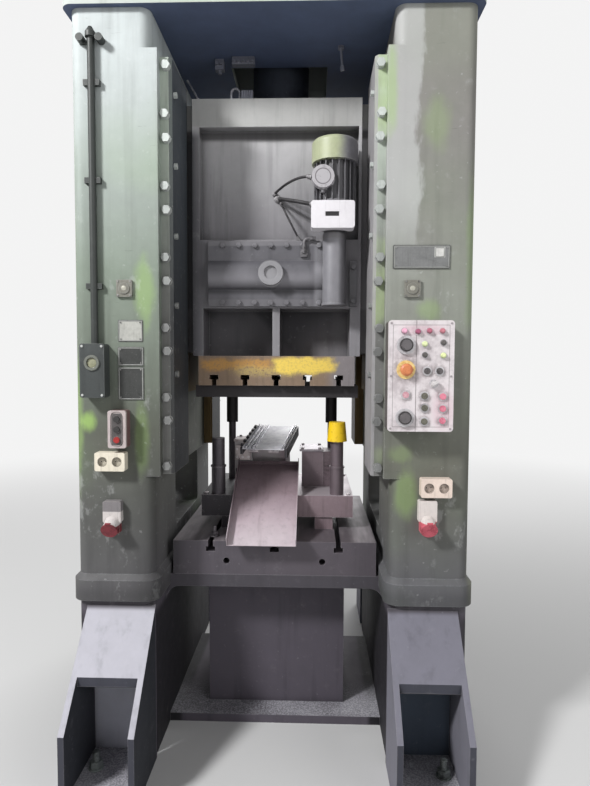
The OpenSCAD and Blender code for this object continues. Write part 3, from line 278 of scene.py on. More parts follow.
def uprightLook(name, part):
    look = Look(name, Specular_IOR_Level=0.35)
    front = look.fall(look.y, *upright["front"])
    height = look.node("ShaderNodeMapRange", {}, look.z, *upright["tall"], 0.0, 1.0)
    # the tones up the height carry painted light near the top and painted shade towards the foot; the right upright's
    # are darker, painted shade away from the light
    colour = look.aged(look.ramp(height + (look.noise(1.1, 3, 0.5) - 0.5) * 0.12, part["tones"]), upright)
    streak = look.rise(look.noise(2.4, 4, 0.6, stretch=(7, 7, 0.3)), 0.5, 0.74)
    colour = look.mix(colour, upright["dirt"], streak * 0.16)
    film = look.rise(look.noise(1.0, 3, 0.6, shift=(4, 2, 7)), 0.5, 0.7)
    colour = look.mix(colour, upright["green"], film * part["film"])
    if part["side"] > 0:  # an older, paler coat down the inner half
        torn = look.x + (look.noise(5, 5, 0.65, stretch=(1, 1, 0.35), shift=(2, 6, 1)) - 0.5) * 0.22
        old = look.fall(torn, *upright["oldSide"]) * look.rise(look.z, *upright["oldTop"])
        colour = look.mix(colour, upright["bare"], old * front * (0.26 + look.broad * 0.3))
    rim = look.band(look.x * part["side"], *upright["rim"], 0.02)
    patchy = look.rise(look.noise(2.2, 4, 0.6, stretch=(1, 1, 0.5), shift=(1, 2, 3)), 0.42, 0.6)
    colour = look.mix(colour, upright["olive"], rim * patchy * front * 0.5)
    for x, z, wide, tall, much in part["greens"]:
        away = (((look.x - x) / wide) ** 2 + ((look.z - z) / tall) ** 2).root()
        away = away + (look.noise(9, 4, 0.65, stretch=(1, 1, 0.5)) - 0.5) * 1.6
        colour = look.mix(colour, upright["bright"], look.fall(away, 0.4, 1.3) * front * much)
    scratch = look.noise(15, 2, 0.5, stretch=(1, 1, 7), shift=(1, 5, 3))
    colour = look.mix(colour, upright["dirt"], look.rise(scratch, 0.72, 0.78) * 0.25)
    rub = look.rise(look.noise(5, 5, 0.7, stretch=(1, 1, 0.6), shift=(7, 7, 3)), 0.6, 0.66)
    colour = look.mix(colour, upright["bare"], rub * look.fall(look.z, *upright["rubbed"]) * 0.2)
    # painted shade: the right upright's outer edge, and the lower inner part of the left upright beside the boxes and
    # sockets
    if part["side"] > 0:
        paintedShade = look.rise(look.x, 0.80, 0.88)
    else:
        paintedShade = look.rise(look.x * -1, 0.66, 0.55) * look.fall(look.z, 1.2, 1.9)
    colour = look.scaled(colour, 1 - paintedShade * front * 0.3)
    colour = look.scaled(colour, 1 - look.fall(look.z, *upright["foot"]) * 0.3)
    return look.finish(colour, 0.5, strength=0.25, soft=0.004, depth=0.003, relief=look.fine + look.broad)


for side, part in uprightSides.items():
    dressed(side + "_upright", uprightLook(side + "UprightPaint", part))

crown = palette(base=(186, 192, 188), under=(84, 95, 121), bare=(212, 214, 214), lowerEdge=(3.30, 3.36),
                wear=[0.35, 0.2, 0.2, 1.0, 0.3, 0.5])
look = Look("crownPaint", Specular_IOR_Level=0.35)
colour = look.aged(crown["base"], crown)
film = look.rise(look.noise(1.3, 3, 0.6, shift=(4, 2, 7)), 0.5, 0.7)
colour = look.mix(colour, upright["green"], film * 0.3)
# painted shade on the faces that look down
shadedUnderside = look.fall(look.facing("Z"), -0.8, -0.3) * look.fall(look.z, *crown["lowerEdge"])
colour = look.mix(colour, look.scaled(crown["under"], 1 + (look.fine - 0.5) * 0.5), shadedUnderside)
dressed("crown", look.finish(colour, 0.55, soft=0.003))

bed = palette(
    slopeLeft=(178, 177, 186), slopeRight=(116, 115, 126), box=(84, 79, 88), dark=(30, 28, 33), noses=(62, 63, 72),
    wallLeft=(42, 44, 50), wallRight=(122, 121, 131), backLeft=(188, 189, 200), backRight=(78, 88, 102),
    table=(72, 69, 75), dust=(184, 183, 190), grit=(88, 86, 92), bare=(170, 168, 172),
    wear=[0.32, 0.2, 0.12, 1.2, 0.25, 0.55], legSide=(0.44, 0.47), legEnd=(0.66, 0.69), legTop=(0.62, 0.68),
    footFrom=(0.68, 0.70), footBack=(0.66, 0.67), footTop=(0.56, 0.6), tableFrom=(0.66, 0.69), plate=(0.046, 0.06),
    dustTo=(-0.36, -0.05),
)
look = Look("bedPaint", Specular_IOR_Level=0.35)
sidewards, upwards, depth, rightFoot = look.facing("X"), look.facing("Z"), look.y.size(), look.onRight(0.2)
foot = look.rise(depth, *bed["footFrom"])
# rib faces that look to +x are painted in shade, rib faces that look to -x are painted lit
litAndShadedWalls = look.mix(bed["wallRight"], bed["wallLeft"], look.rise(sidewards, -0.3, 0.3))
walls = look.mix(bed["noses"], litAndShadedWalls, look.rise(sidewards.size(), 0.5, 0.7))
# the left foot's slope is painted lit and the right foot's slope is painted in shade
slope = look.mix(bed["slopeLeft"], bed["slopeRight"], rightFoot)
base = look.mix(bed["box"], look.mix(walls, slope, look.rise(upwards, 0.2, 0.35)), foot)
# painted shade inside the legs
shadedLegInside = look.rise(look.x.size(), *bed["legSide"]) * look.fall(depth, *bed["legEnd"]) * look.fall(look.z, *bed["legTop"])
base = look.mix(base, bed["dark"], shadedLegInside)
# painted light on the back of the left foot's pocket and painted shade on the back of the right foot's pocket
footBack = look.rise(depth, *bed["footBack"]) * (1 - foot) * look.fall(look.z, *bed["footTop"])
footBack = footBack * look.fall(sidewards.size(), 0.3, 0.5)
base = look.mix(base, look.mix(bed["backLeft"], bed["backRight"], rightFoot), footBack)
base = look.mix(base, bed["table"], look.rise(look.z, *bed["tableFrom"]) * (1 - foot))
colour = look.aged(base, bed)
speckle = look.rise(look.noise(130, 3, 0.75), 0.42, 0.62) * 0.6 + look.rise(look.noise(3.2, 5, 0.7), 0.36, 0.62) * 0.4
dusty = look.fall(look.z, *bed["plate"]) * look.rise(upwards, 0.85, 0.97) * look.fall(look.y, *bed["dustTo"])
colour = look.mix(colour, look.mix(bed["grit"], bed["dust"], speckle), dusty * 0.9)
dressed("bed", look.finish(colour, 0.55, strength=0.3, soft=0.003, grain=0.25, depth=0.003))

gib = palette(
    low=(122, 122, 120), high=(186, 196, 184), green=(172, 190, 140), innerLow=(46, 48, 51), innerHigh=(72, 78, 84),
    innerRight=(150, 148, 150), bare=(176, 178, 176), bronze=(120, 100, 62), liner=(0.122, 0.124),
    wear=[0.35, 0.25, 0.3, 1.8, 0.4, 0.5],
)
look = Look("gibPaint", Specular_IOR_Level=0.4)
sideways, rightGib = look.facing("X"), look.onRight()
# paler higher up: painted light towards the top and painted shade towards the bottom, as on the uprights
pale = look.mix(gib["low"], gib["high"], look.rise(look.z, 1.9, 2.9))
pale = look.mix(pale, gib["green"], look.rise(look.noise(2.4, 3, 0.6), 0.5, 0.64) * rightGib * 0.6)
# painted shade on the left gib's faces that look right, and painted light on the right gib's faces that look left
dark = look.mix(gib["innerLow"], gib["innerHigh"], look.rise(look.z, 1.6, 2.9))
base = look.mix(pale, dark, look.rise(sideways, 0.5, 0.8) * (1 - rightGib))
base = look.mix(base, gib["innerRight"], look.rise(sideways * -1, 0.5, 0.8) * rightGib)
colour = look.mix(look.aged(base, gib), gib["bronze"], look.rise(0.46 - look.y.size(), *gib["liner"]))
dressed("gib_brackets", look.finish(colour, 0.5, strength=0.25, soft=0.002))


# steels and castings

gibBolt = palette(low=(120, 121, 120), high=(196, 202, 198), bare=(200, 200, 200), wear=[0.4, 0.2, 0.3, 5, 0.4, 0.4])
look = Look("gibBoltPaint", Specular_IOR_Level=0.45)
# lighter higher up: painted light towards the top and painted shade towards the bottom, as on the gibs
base = look.mix(gibBolt["low"], gibBolt["high"], look.rise(look.z, 1.8, 2.8))
dressed("gib_bolts", look.finish(look.aged(base, gibBolt), 0.45, 0.1, soft=0.0015))

driveFinishes = {  # name, tone, deep tone, pale tone, then metal and roughness
    "tie_rods": ("tieRodSteel", (96, 95, 94), (52, 50, 48), (140, 138, 134), 0.6, 0.45),
    "shaft_bearings": ("bearingBronze", (186, 150, 84), (120, 90, 46), (214, 186, 130), 0.85, 0.32),
    "worm_wheel": ("wheelBronze", (190, 154, 88), (126, 96, 50), (220, 190, 136), 0.85, 0.3),
    "conrod": ("rodIron", (52, 57, 68), (32, 36, 46), (90, 94, 102), 0.2, 0.5),
}
for node in ("pinion_shaft", "crankshaft", "crank_pin", "adjusting_screw", "worm_shaft"):
    driveFinishes[node] = (node + "Steel", (150, 150, 152), (92, 90, 88), (190, 190, 192), 0.85, 0.28)
for node in ("bull_gear", "flywheel", "motor_pulley"):
    driveFinishes[node] = (node + "Iron", (96, 98, 98), (56, 56, 55), (134, 134, 132), 0.35, 0.5, 0.3, 0.3)
for node, finish in driveFinishes.items():
    dressed(node, steelLook(*finish))

bolster = palette(left=(86, 81, 88), right=(88, 82, 89), end=(52, 50, 54), bare=(150, 146, 150),
                  topDeep=(104, 97, 102), topPale=(156, 149, 153), top=(0.9145, 0.9155), endFrom=(-0.36, -0.52),
                  wear=[0.32, 0.15, 0.2, 1.6, 0.5, 0.35])
look = Look("bolsterSteel")
base = look.mix(bolster["left"], bolster["right"], look.onRight(0.2))
# painted shade darkens the left end
colour = look.aged(look.mix(base, bolster["end"], look.rise(look.x, *bolster["endFrom"]) * 0.8), bolster)
scour = look.rise(look.noise(9, 3, 0.6, stretch=(1, 0.15, 1)), 0.42, 0.64)
top = look.rise(look.z, *bolster["top"])
colour = look.mix(colour, look.mix(bolster["topDeep"], bolster["topPale"], scour), top * 0.85)
dressed("bolster", look.finish(colour, 0.42, 0.25, 0.25, 0.002, grain=0.25))


# slide

slide = palette(
    high=(178, 177, 179), low=(134, 132, 136), bare=(186, 186, 186), band=(168, 168, 166), oil=(60, 58, 60),
    dim=(50, 50, 56), pocket=(56, 54, 59), pocketLow=(88, 86, 90), pocketRight=(122, 120, 123), pocketTop=(2.0, 2.02),
    front=(-0.366, -0.362), bandFoot=(2.80, 2.86), bandFrom=(2.855, 2.865), dimSide=(-0.30, -0.42),
    dimEdge=(-0.38, -0.42), wear=[0.3, 0.22, 0.15, 1.3, 0.35, 0.55],
)
look = Look("slidePaint", Specular_IOR_Level=0.4)
belowBand = look.fall(look.z, *slide["bandFoot"])
# painted light, brightest towards the band and falling off downwards
base = look.mix(slide["low"], slide["high"], look.rise(look.z, 2.3, 2.85))
# painted shade down the left side below the band
base = look.mix(base, slide["dim"], look.rise(look.x, *slide["dimSide"]) * belowBand * 0.9)
base = look.mix(base, slide["band"], look.rise(look.z, *slide["bandFrom"]) * 0.9)
# the recessed pockets are painted in shade, with painted light on their lower and right parts
pocket = look.mix(slide["pocket"], slide["pocketLow"], look.rise(look.x + look.z * 0.9, 1.72, 1.66) * 0.9)
pocket = look.mix(pocket, slide["pocketRight"], look.rise(look.x - (look.z - 1.9) * 0.8, 0.06, 0.36) * 0.8)
base = look.mix(base, pocket, look.fall(look.z, *slide["pocketTop"]) * look.rise(look.y, *slide["front"]))
# deeper painted shade at the left edge
colour = look.scaled(look.aged(base, slide), 1 - look.rise(look.x, *slide["dimEdge"]) * belowBand * 0.5)
drips = look.rise(look.noise(4, 4, 0.6, stretch=(4, 4, 0.3), shift=(2, 2, 2)), 0.54, 0.72)
colour = look.mix(colour, slide["oil"], drips * 0.2)
# painted shadow under the overhanging band; the same dark tone also serves the oil drips above
shadowUnderBand = look.band(look.z, 2.815, 2.857, 0.012) * look.rise(look.y, -0.364, -0.35)
colour = look.mix(colour, slide["oil"], shadowUnderBand * 0.85)
dressed("slide_body", look.finish(colour, 0.45, strength=0.25, soft=0.004, grain=0.25))

gearCase = palette(
    left=(97, 96, 101), right=(132, 131, 136), bare=(158, 156, 158), top=(128, 126, 128), boss=(158, 157, 160),
    topFrom=(2.318, 2.3225), hubFrom=(0.17, 0.19), caseEnd=(0.16, 0.2), hubShade=(0.285, 0.325),
    bossAt=[-0.022, 2.164, 0.058], wear=[0.34, 0.2, 0.25, 1.8, 0.45, 0.5],
    bands=[  # lip highlight, low rim, crest highlight and hollow shade, painted into the colour: tone, low, high, softness and strength
        ((136, 134, 138), 2.300, 2.330, 0.004, 0.5), ((116, 114, 118), 2.010, 2.050, 0.004, 0.5),
        ((168, 166, 172), 2.125, 2.160, 0.03, 0.5), ((34, 33, 38), 2.076, 2.100, 0.012, 0.75),
    ],
)
look = Look("gearCasePaint", Specular_IOR_Level=0.45)
onCase = look.fall(look.x, *gearCase["caseEnd"])
base = look.mix(gearCase["left"], gearCase["right"], look.rise(look.x, *gearCase["hubFrom"]))
# the top face is painted lighter, a painted highlight
colour = look.mix(look.aged(base, gearCase), gearCase["top"], look.rise(look.z, *gearCase["topFrom"]) * 0.7)
for tone, low, high, soft, much in gearCase["bands"]:
    colour = look.mix(colour, paint(*tone), look.band(look.z, low, high, soft) * onCase * much)
# painted shade on the hub's right side
colour = look.scaled(colour, 1 - look.rise(look.x, *gearCase["hubShade"]) * 0.45)
colour = look.mix(colour, gearCase["boss"], look.spot(*gearCase["bossAt"], 0.001) * 0.65)
dressed("adjust_cover", look.finish(colour, 0.3, 0.1, 0.3, 0.004))

slidePlate = palette(
    left=(132, 112, 94), right=(130, 124, 126), bare=(176, 168, 164), rightFrom=(0.22, 0.30), front=(-0.3665, -0.3655),
    wear=[0.4, 0.2, 0.35, 2.4, 0.35, 0.3],
    patches=[  # tone, x range, z range, raggedness in z, even cover and speckled cover
        ((196, 146, 70), (-0.36, -0.02, 0.04), (1.718, 1.766, 0.014), 0.5, 0.35, 0.4),
        ((206, 182, 104), (-0.2, 0.2, 0.06), (1.69, 1.73, 0.015), 0.4, 0.0, 0.5),
        ((238, 208, 96), (0.0, 0.27, 0.03), (1.704, 1.776, 0.012), 0.35, 0.72, 0.24),
    ],
)
look = Look("slidePlateSteel")
base = look.mix(slidePlate["left"], slidePlate["right"], look.rise(look.x, *slidePlate["rightFrom"]))
colour = look.aged(base, slidePlate)
front = look.fall(look.y, *slidePlate["front"])
ragged = (look.noise(13, 5, 0.65) - 0.5) * 0.16
grit = look.rise(look.noise(90, 3, 0.7), 0.36, 0.52)
for tone, across, tall, stir, even, speckled in slidePlate["patches"]:
    patch = look.band(look.x + ragged, *across) * look.band(look.z + ragged * stir, *tall)
    colour = look.mix(colour, paint(*tone), patch * front * (even + grit * speckled))
dressed("slide_plate", look.finish(colour, 0.5, 0.15, 0.25, 0.0015))

shoe = palette(base=(32, 28, 31), bare=(84, 80, 84), wear=[0.35, 0.15, 0.2, 3, 0.25, 0.3])
dressed("upper_die_shoe", agedLook("upperShoeSteel", shoe, 0.5, strength=0.15, soft=0.0015))

cowl = palette(left=(170, 176, 143), right=(118, 117, 122), bare=(214, 216, 200), fade=(0.27, 0.33),
               wear=[0.35, 0.15, 0.3, 3, 0.4, 0.3])
look = Look("cowlPaint", Specular_IOR_Level=0.5)
# the left side is painted lit and the right side is painted in shade
base = look.mix(cowl["left"], cowl["right"], look.rise(look.x + (look.noise(8, 3, 0.6) - 0.5) * 0.05, *cowl["fade"]))
dressed("fan_cowl", look.finish(look.aged(base, cowl), 0.38, soft=0.002))

adjustMotor = palette(base=(97, 96, 100), bare=(160, 158, 162), lid=(176, 173, 177), groove=(116, 112, 116),
                      lidAt=[0.216, 2.5755], lidRadius=0.054, lidFront=(-0.503, -0.499),
                      wear=[0.4, 0.1, 0.4, 4, 0.5, 0.3])
look = Look("adjustMotorPaint", Specular_IOR_Level=0.5)
colour = look.aged(adjustMotor["base"], adjustMotor)
groove = look.band(look.away(*adjustMotor["lidAt"]), 0.031, 0.036, 0.001)
face = look.mix(adjustMotor["lid"], adjustMotor["groove"], groove.most(look.rise(look.fine, 0.55, 0.7) * 0.5))
onLid = look.spot(*adjustMotor["lidAt"], adjustMotor["lidRadius"], 0.0005) * look.fall(look.y, *adjustMotor["lidFront"])
dressed("adjust_motor", look.finish(look.mix(colour, face, onLid), 0.4, soft=0.0015))

counter = palette(base=(226, 223, 227), bare=(236, 234, 236), window=(34, 32, 34), wide=(0.228, 0.288),
                  tall=(2.402, 2.422), wear=[0.2, 0.12, 0.15, 4, 0.2, 0.3])
look = Look("counterPaint", Specular_IOR_Level=0.45)
window = look.band(look.x, *counter["wide"], 0.001) * look.band(look.z, *counter["tall"], 0.001)
colour = look.mix(look.aged(counter["base"], counter), counter["window"], window)
dressed("counter_box", look.finish(colour, 0.45, strength=0.12, soft=0.0015, grain=0.15))


# die set

lowerShoe = palette(left=(42, 39, 44), right=(142, 124, 130), blockLeft=(176, 170, 172), blockRight=(132, 118, 124),
                    bare=(206, 198, 202), top=(196, 188, 193), rightFrom=(0.02, 0.12), blocksFrom=(1.089, 1.091),
                    wear=[0.4, 0.2, 0.4, 3, 0.5, 0.4])
look = Look("lowerShoeSteel")
blocks = look.rise(look.z, *lowerShoe["blocksFrom"])
base = look.mix(lowerShoe["left"], lowerShoe["right"], look.rise(look.x, *lowerShoe["rightFrom"]))
base = look.mix(base, look.mix(lowerShoe["blockLeft"], lowerShoe["blockRight"], look.onRight(0.05)), blocks)
colour = look.aged(base, lowerShoe)
upward = look.rise(look.facing("Z"), 0.7, 0.95) * look.rise(look.x + blocks * 2, -0.1, 0.1)
colour = look.mix(colour, look.scaled(lowerShoe["top"], 0.8 + look.broad * 0.4), upward * 0.8)
dressed("lower_die_shoe", look.finish(colour, 0.36, 0.3, soft=0.0015))
dressed("part_rail", steelLook("railSheet", (232, 231, 236), (196, 194, 204), (246, 245, 249), 0.15, 0.26, 0.45, 0.4, 3))

post = palette(left=(74, 70, 75), right=(112, 100, 106), bare=(170, 162, 166), cap=(246, 206, 34), capDirt=(208, 168, 34),
               capSide=(0.2, 0.21), capFront=(-0.17, -0.16), capFoot=(1.3575, 1.3585),
               wear=[0.35, 0.2, 0.25, 4, 0.4, 0.2])
look = Look("postSteel")
colour = look.aged(look.mix(post["left"], post["right"], look.onRight()), post)
cap = look.rise(look.x, *post["capSide"]) * look.fall(look.y, *post["capFront"]) * look.rise(look.z, *post["capFoot"])
colour = look.mix(colour, look.mix(post["cap"], post["capDirt"], look.rise(look.fine, 0.52, 0.7)), cap)
dressed("guide_posts", look.finish(colour, 0.35, 0.4 - cap * 0.4, 0.12))

chute = palette(bare=(226, 216, 220), rub=(112, 96, 101), run=(-0.05, -0.52), wear=[0.25, 0.15, 0.15, 2.4, 0.25, 0.2],
                tones=[(0.0, (104, 90, 95)), (0.45, (150, 132, 139)), (0.75, (192, 175, 183)), (1.0, (214, 202, 208))])
look = Look("chuteSheet")
run = look.node("ShaderNodeMapRange", {}, look.y, *chute["run"], 0.0, 1.0)
# painted shade at the upper end, where the chute runs in under the die, lighter towards its lower end
colour = look.aged(look.ramp(run + (look.noise(3, 3, 0.6) - 0.5) * 0.3, chute["tones"]), chute)
rub = look.rise(look.noise(7, 3, 0.6, stretch=(3, 0.4, 0.4)), 0.52, 0.7)
colour = look.mix(colour, chute["rub"], rub * 0.3)
# painted shade on the faces that look right
colour = look.scaled(colour, 1 - look.rise(look.facing("X"), 0.5, 0.8) * 0.45)
dressed("chute", look.finish(colour, 0.4, 0.25, 0.15, grain=0.22))


# wall fittings

sidePlates = palette(low=(70, 72, 70), high=(122, 120, 112), bare=(170, 172, 168), highFrom=(1.95, 2.0),
                     highTo=(2.12, 2.14), wear=[0.5, 0.2, 0.4, 6, 0.5, 0.3])
look = Look("sidePlatePaint", Specular_IOR_Level=0.4)
upper = look.rise(look.z, *sidePlates["highFrom"]) * look.fall(look.z, *sidePlates["highTo"])
colour = look.aged(look.mix(sidePlates["low"], sidePlates["high"], upper), sidePlates)
dressed("side_plates", look.finish(colour, 0.45, 0.2, soft=0.001))

station = palette(face=(184, 172, 171), slot=(84, 80, 80), side=(112, 84, 84), bare=(206, 198, 196),
                  wear=[0.4, 0.2, 0.4, 6, 0.4, 0.4], slotAt=(-0.648, 1.468), slotWide=(0.022, 0.0235),
                  slotTall=(0.067, 0.0685), sideFrom=(-0.73, -0.722))
look = Look("stationPaint", Specular_IOR_Level=0.4)
slotX, slotZ = station["slotAt"]
inSlot = look.fall((look.x - slotX).size(), *station["slotWide"])
base = look.mix(station["face"], station["slot"], inSlot * look.fall((look.z - slotZ).size(), *station["slotTall"]))
base = look.mix(base, station["side"], look.rise(look.y, *station["sideFrom"]))
dressed("button_station", look.finish(look.aged(base, station), 0.45, strength=0.15, soft=0.001))

controlBox = palette(base=(96, 92, 90), bare=(160, 155, 152), wear=[0.35, 0.25, 0.2, 3, 0.4, 0.4])
dressed("control_box", agedLook("controlBoxPaint", controlBox, 0.5, soft=0.0015, Specular_IOR_Level=0.4))

junctionBox = palette(
    box=(60, 64, 64), pipe=(48, 52, 50), bare=(128, 132, 128), screw=(188, 190, 188), ring=(118, 120, 112),
    pipeFrom=(1.83, 1.84), front=(-0.7455, -0.7445), ringFront=(-0.743, -0.741), window=(-0.748, 1.748),
    ringSpan=(0.0215, 0.0325), screwRadius=0.0056, screwX=(-0.7895, -0.7065), screwZ=(1.8175, 1.6125),
    wear=[0.35, 0.2, 0.2, 4, 0.5, 0.35],
)
look = Look("conduitPaint", Specular_IOR_Level=0.5)
base = look.mix(junctionBox["box"], junctionBox["pipe"], look.rise(look.z, *junctionBox["pipeFrom"]))
colour = look.aged(base, junctionBox)
front = look.fall(look.y, *junctionBox["front"])
for x in junctionBox["screwX"]:
    for z in junctionBox["screwZ"]:
        colour = look.mix(colour, junctionBox["screw"], look.spot(x, z, junctionBox["screwRadius"]) * front)
ring = look.band(look.away(*junctionBox["window"]), *junctionBox["ringSpan"], 0.0005)
colour = look.mix(colour, junctionBox["ring"], ring * look.fall(look.y, *junctionBox["ringFront"]) * 0.8)
dressed("junction_box", look.finish(colour, 0.42, soft=0.002))

lidX, lidZ = 0.481, 1.474  # lower left corner of the lid, from which its fittings are measured
controlLid = palette(
    base=(224, 217, 219), deep=(190, 181, 184), pale=(238, 234, 236), grime=(120, 108, 108), line=(128, 118, 120),
    pink=(214, 168, 182), rim=(128, 122, 124), rimFrom=(-0.7805, -0.7800), stopAt=(0.072, 0.252),
    pushAt=[(0.072, 0.150), (0.157, 0.247), (0.207, 0.247), (0.148, 0.146), (0.149, 0.097), (0.148, 0.042),
            (0.222, 0.144), (0.222, 0.095), (0.221, 0.046)],
)
stopX, stopZ = controlLid["stopAt"]
look = Look("controlLidPaint", Specular_IOR_Level=0.4)
colour = look.worn(controlLid["base"], controlLid["deep"], controlLid["pale"], 0.35, 0.3, 3.5)
across, tall = look.x - lidX, look.z - lidZ
grime = look.spot(lidX + stopX, lidZ + stopZ, 0.045, 0.03)
for x, z in controlLid["pushAt"]:
    grime = grime.most(look.spot(lidX + x, lidZ + z, 0.024, 0.012))
colour = look.mix(colour, controlLid["grime"], grime * look.rise(look.fine, 0.35, 0.6) * 0.75)
outer = look.band(across, 0.018, 0.248, 0.0006) * look.band(tall, 0.018, 0.434, 0.0006)
inner = look.band(across, 0.0205, 0.2455, 0.0006) * look.band(tall, 0.0205, 0.4315, 0.0006)
line = (outer - inner).most(look.band(across, 0.1115, 0.1145, 0.0006))
colour = look.mix(colour, controlLid["line"], line * 0.7)
# painted pink glow cast on the lid, near the lamps at the top and near the red buttons lower down
lowGlow = look.fall(((across - 0.225) ** 2 + ((tall - 0.09) * 0.6) ** 2).root(), 0.02, 0.07)
topGlow = look.fall((tall - 0.412).size(), 0.008, 0.026) * look.fall((across - 0.14).size(), 0.06, 0.11)
colour = look.mix(colour, controlLid["pink"], lowGlow.most(topGlow) * 0.35)
colour = look.mix(colour, controlLid["rim"], look.fall(look.y, *controlLid["rimFrom"]) * 0.7)
dressed("control_lid", look.finish(colour, 0.42, strength=0.12))

lamps = palette(
    base=(206, 203, 206), deep=(150, 145, 148), pale=(232, 230, 232), stopPlate=(238, 212, 146), stopWorn=(222, 184, 104),
    radius=0.0118, stopRadius=0.039,
    tints=[(0.064, 0.408, (232, 172, 196)), (0.118, 0.406, (160, 84, 112)), (0.164, 0.409, (176, 98, 118)),
           (0.216, 0.409, (190, 118, 130)), (0.146, 0.356, (220, 232, 176)), (0.221, 0.310, (222, 234, 170)),
           (0.221, 0.362, (88, 84, 82)), (0.147, 0.312, (84, 80, 78))],
)
look = Look("lampAndRingFinish", Coat_Weight=0.3)
colour = look.worn(lamps["base"], lamps["deep"], lamps["pale"], 0.3, 0.3, 8)
stop = painted = look.spot(lidX + stopX, lidZ + stopZ, lamps["stopRadius"])
for x, z, tint in lamps["tints"]:
    lens = look.spot(lidX + x, lidZ + z, lamps["radius"])
    # each lens gets a painted highlight near its top and painted shade on its lower part
    glow = look.spot(lidX + x, lidZ + z + 0.001, 0.005, 0.004)
    shadedLower = look.rise(look.z, lidZ + z + 0.004, lidZ + z - 0.008)
    bright = tuple(min(1.0, c * 1.35) for c in paint(*tint))
    colour = look.mix(colour, look.mix(look.scaled(paint(*tint), 1.05 - shadedLower * 0.45), bright, glow * 0.6), lens)
    painted = painted.most(lens)
colour = look.mix(colour, look.mix(lamps["stopPlate"], lamps["stopWorn"], look.rise(look.fine, 0.42, 0.62)), stop)
dressed("panel_fittings", look.finish(colour, 0.3, (1 - painted) * 0.25, 0.08, grain=0.15))

sockets = palette(
    doubleLeft=(226, 218, 200), doubleRight=(226, 208, 196), leftBody=(206, 200, 198), leftTop=(126, 122, 124),
    leftRing=(118, 42, 50), rightBody=(216, 208, 204), rightRing=(206, 96, 110), bare=(232, 226, 214),
    leftTopFrom=(1.108, 1.112), leftRingTo=(1.052, 1.056), rightRingTo=(1.082, 1.086), doubleFrom=(1.180, 1.185),
    wear=[0.3, 0.2, 0.15, 6, 0.25, 0.6],
)
look = Look("socketPlastic", Specular_IOR_Level=0.45)
double = look.mix(sockets["doubleLeft"], sockets["doubleRight"], look.onRight())
leftWall = look.mix(sockets["leftBody"], sockets["leftTop"], look.rise(look.z, *sockets["leftTopFrom"]))
leftWall = look.mix(sockets["leftRing"], leftWall, look.rise(look.z, *sockets["leftRingTo"]))
rightWall = look.mix(sockets["rightRing"], sockets["rightBody"], look.rise(look.z, *sockets["rightRingTo"]))
base = look.mix(double, look.mix(leftWall, rightWall, look.onRight()), look.fall(look.z, *sockets["doubleFrom"]))
dressed("sockets", look.finish(look.aged(base, sockets), 0.4, strength=0.12, soft=0.001))

plasticFinishes = [  # nodes, then tone, deep tone, roughness and coat
    ("socket_lid_left", (134, 44, 54), (92, 30, 38), 0.42, 0.0),
    ("socket_lid_right", (206, 96, 110), (160, 62, 76), 0.42, 0.0),
    ("stop_button", (214, 132, 84), (176, 92, 54), 0.38, 0.15),
    ("pink_button", (222, 176, 184), (190, 134, 146), 0.35, 0.2),
    ("black_button_left black_button_right", (96, 91, 92), (46, 42, 44), 0.4, 0.1),
    ("selector_knob", (214, 210, 210), (160, 152, 152), 0.4, 0.1),
    ("grey_button_top grey_button_middle grey_button_bottom", (112, 110, 98), (62, 60, 54), 0.4, 0.1),
    ("red_button_top red_button_middle red_button_bottom", (226, 136, 156), (190, 96, 118), 0.35, 0.2),
    ("station_button_top station_button_middle", (52, 50, 50), (26, 24, 24), 0.4, 0.1),
    ("station_button_bottom", (170, 46, 44), (112, 28, 28), 0.38, 0.2),
]
for nodes, tone, deep, rough, coat in plasticFinishes:
    for node in nodes.split():
        look = Look(node + "Plastic", Coat_Weight=coat)
        colour = look.worn(paint(*tone), paint(*deep), paint(*tone), 0.35, 0.2, 22)
        dressed(node, look.finish(colour, rough, strength=0.1, grain=0.15, depth=0.001))

palm = palette(middle=(96, 92, 94), base=(28, 25, 27), bare=(170, 164, 166), middleTo=(0.018, 0.022),
               wear=[0.5, 0.1, 0.3, 14, 0.4, 0.3])
for node in ("palm_button_top", "palm_button_bottom"):
    look = Look(node + "Plastic", Coat_Weight=0.1)
    near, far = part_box(node)
    away = look.away((near[0] + far[0]) / 2, (near[2] + far[2]) / 2) + (look.noise(60, 3, 0.6) - 0.5) * 0.008
    base = look.mix(palm["middle"], palm["base"], look.rise(away, *palm["middleTo"]))
    dressed(node, look.finish(look.aged(base, palm), 0.36, strength=0.12))

mainMotor = palette(base=(112, 126, 118), deep=(66, 76, 70), pale=(160, 170, 160))
look = Look("mainMotorPaint", Specular_IOR_Level=0.45)
dressed("main_motor", look.finish(look.worn(**mainMotor, streaks=0.4, chips=0.4, scale=3), 0.45, strength=0.15))

belts = palette(base=(46, 46, 48), deep=(26, 26, 28), pale=(74, 74, 76))
look = Look("beltRubber")
dressed("v_belts", look.finish(look.worn(**belts, scale=6), 0.65, strength=0.15, grain=0.15))
print("finishes laid on")


# new pieces

toFront, toTop = Vector((0, -1, 0)), Vector((0, 0, 1))


def soften(bm, edges, offset, segments=2):
    bmesh.ops.bevel(bm, geom=list(edges), offset=offset, offset_type="OFFSET", segments=segments, profile=0.5,
                    affect="EDGES", material=-1)


def addBlock(bm, centre, size, bevel=0.001, turn=Matrix.Identity(4)):
    made = bmesh.ops.create_cube(bm, size=1, matrix=Matrix.Translation(centre) @ turn @ Matrix.Diagonal((*size, 1)))
    soften(bm, {e for v in made["verts"] for e in v.link_edges}, bevel)


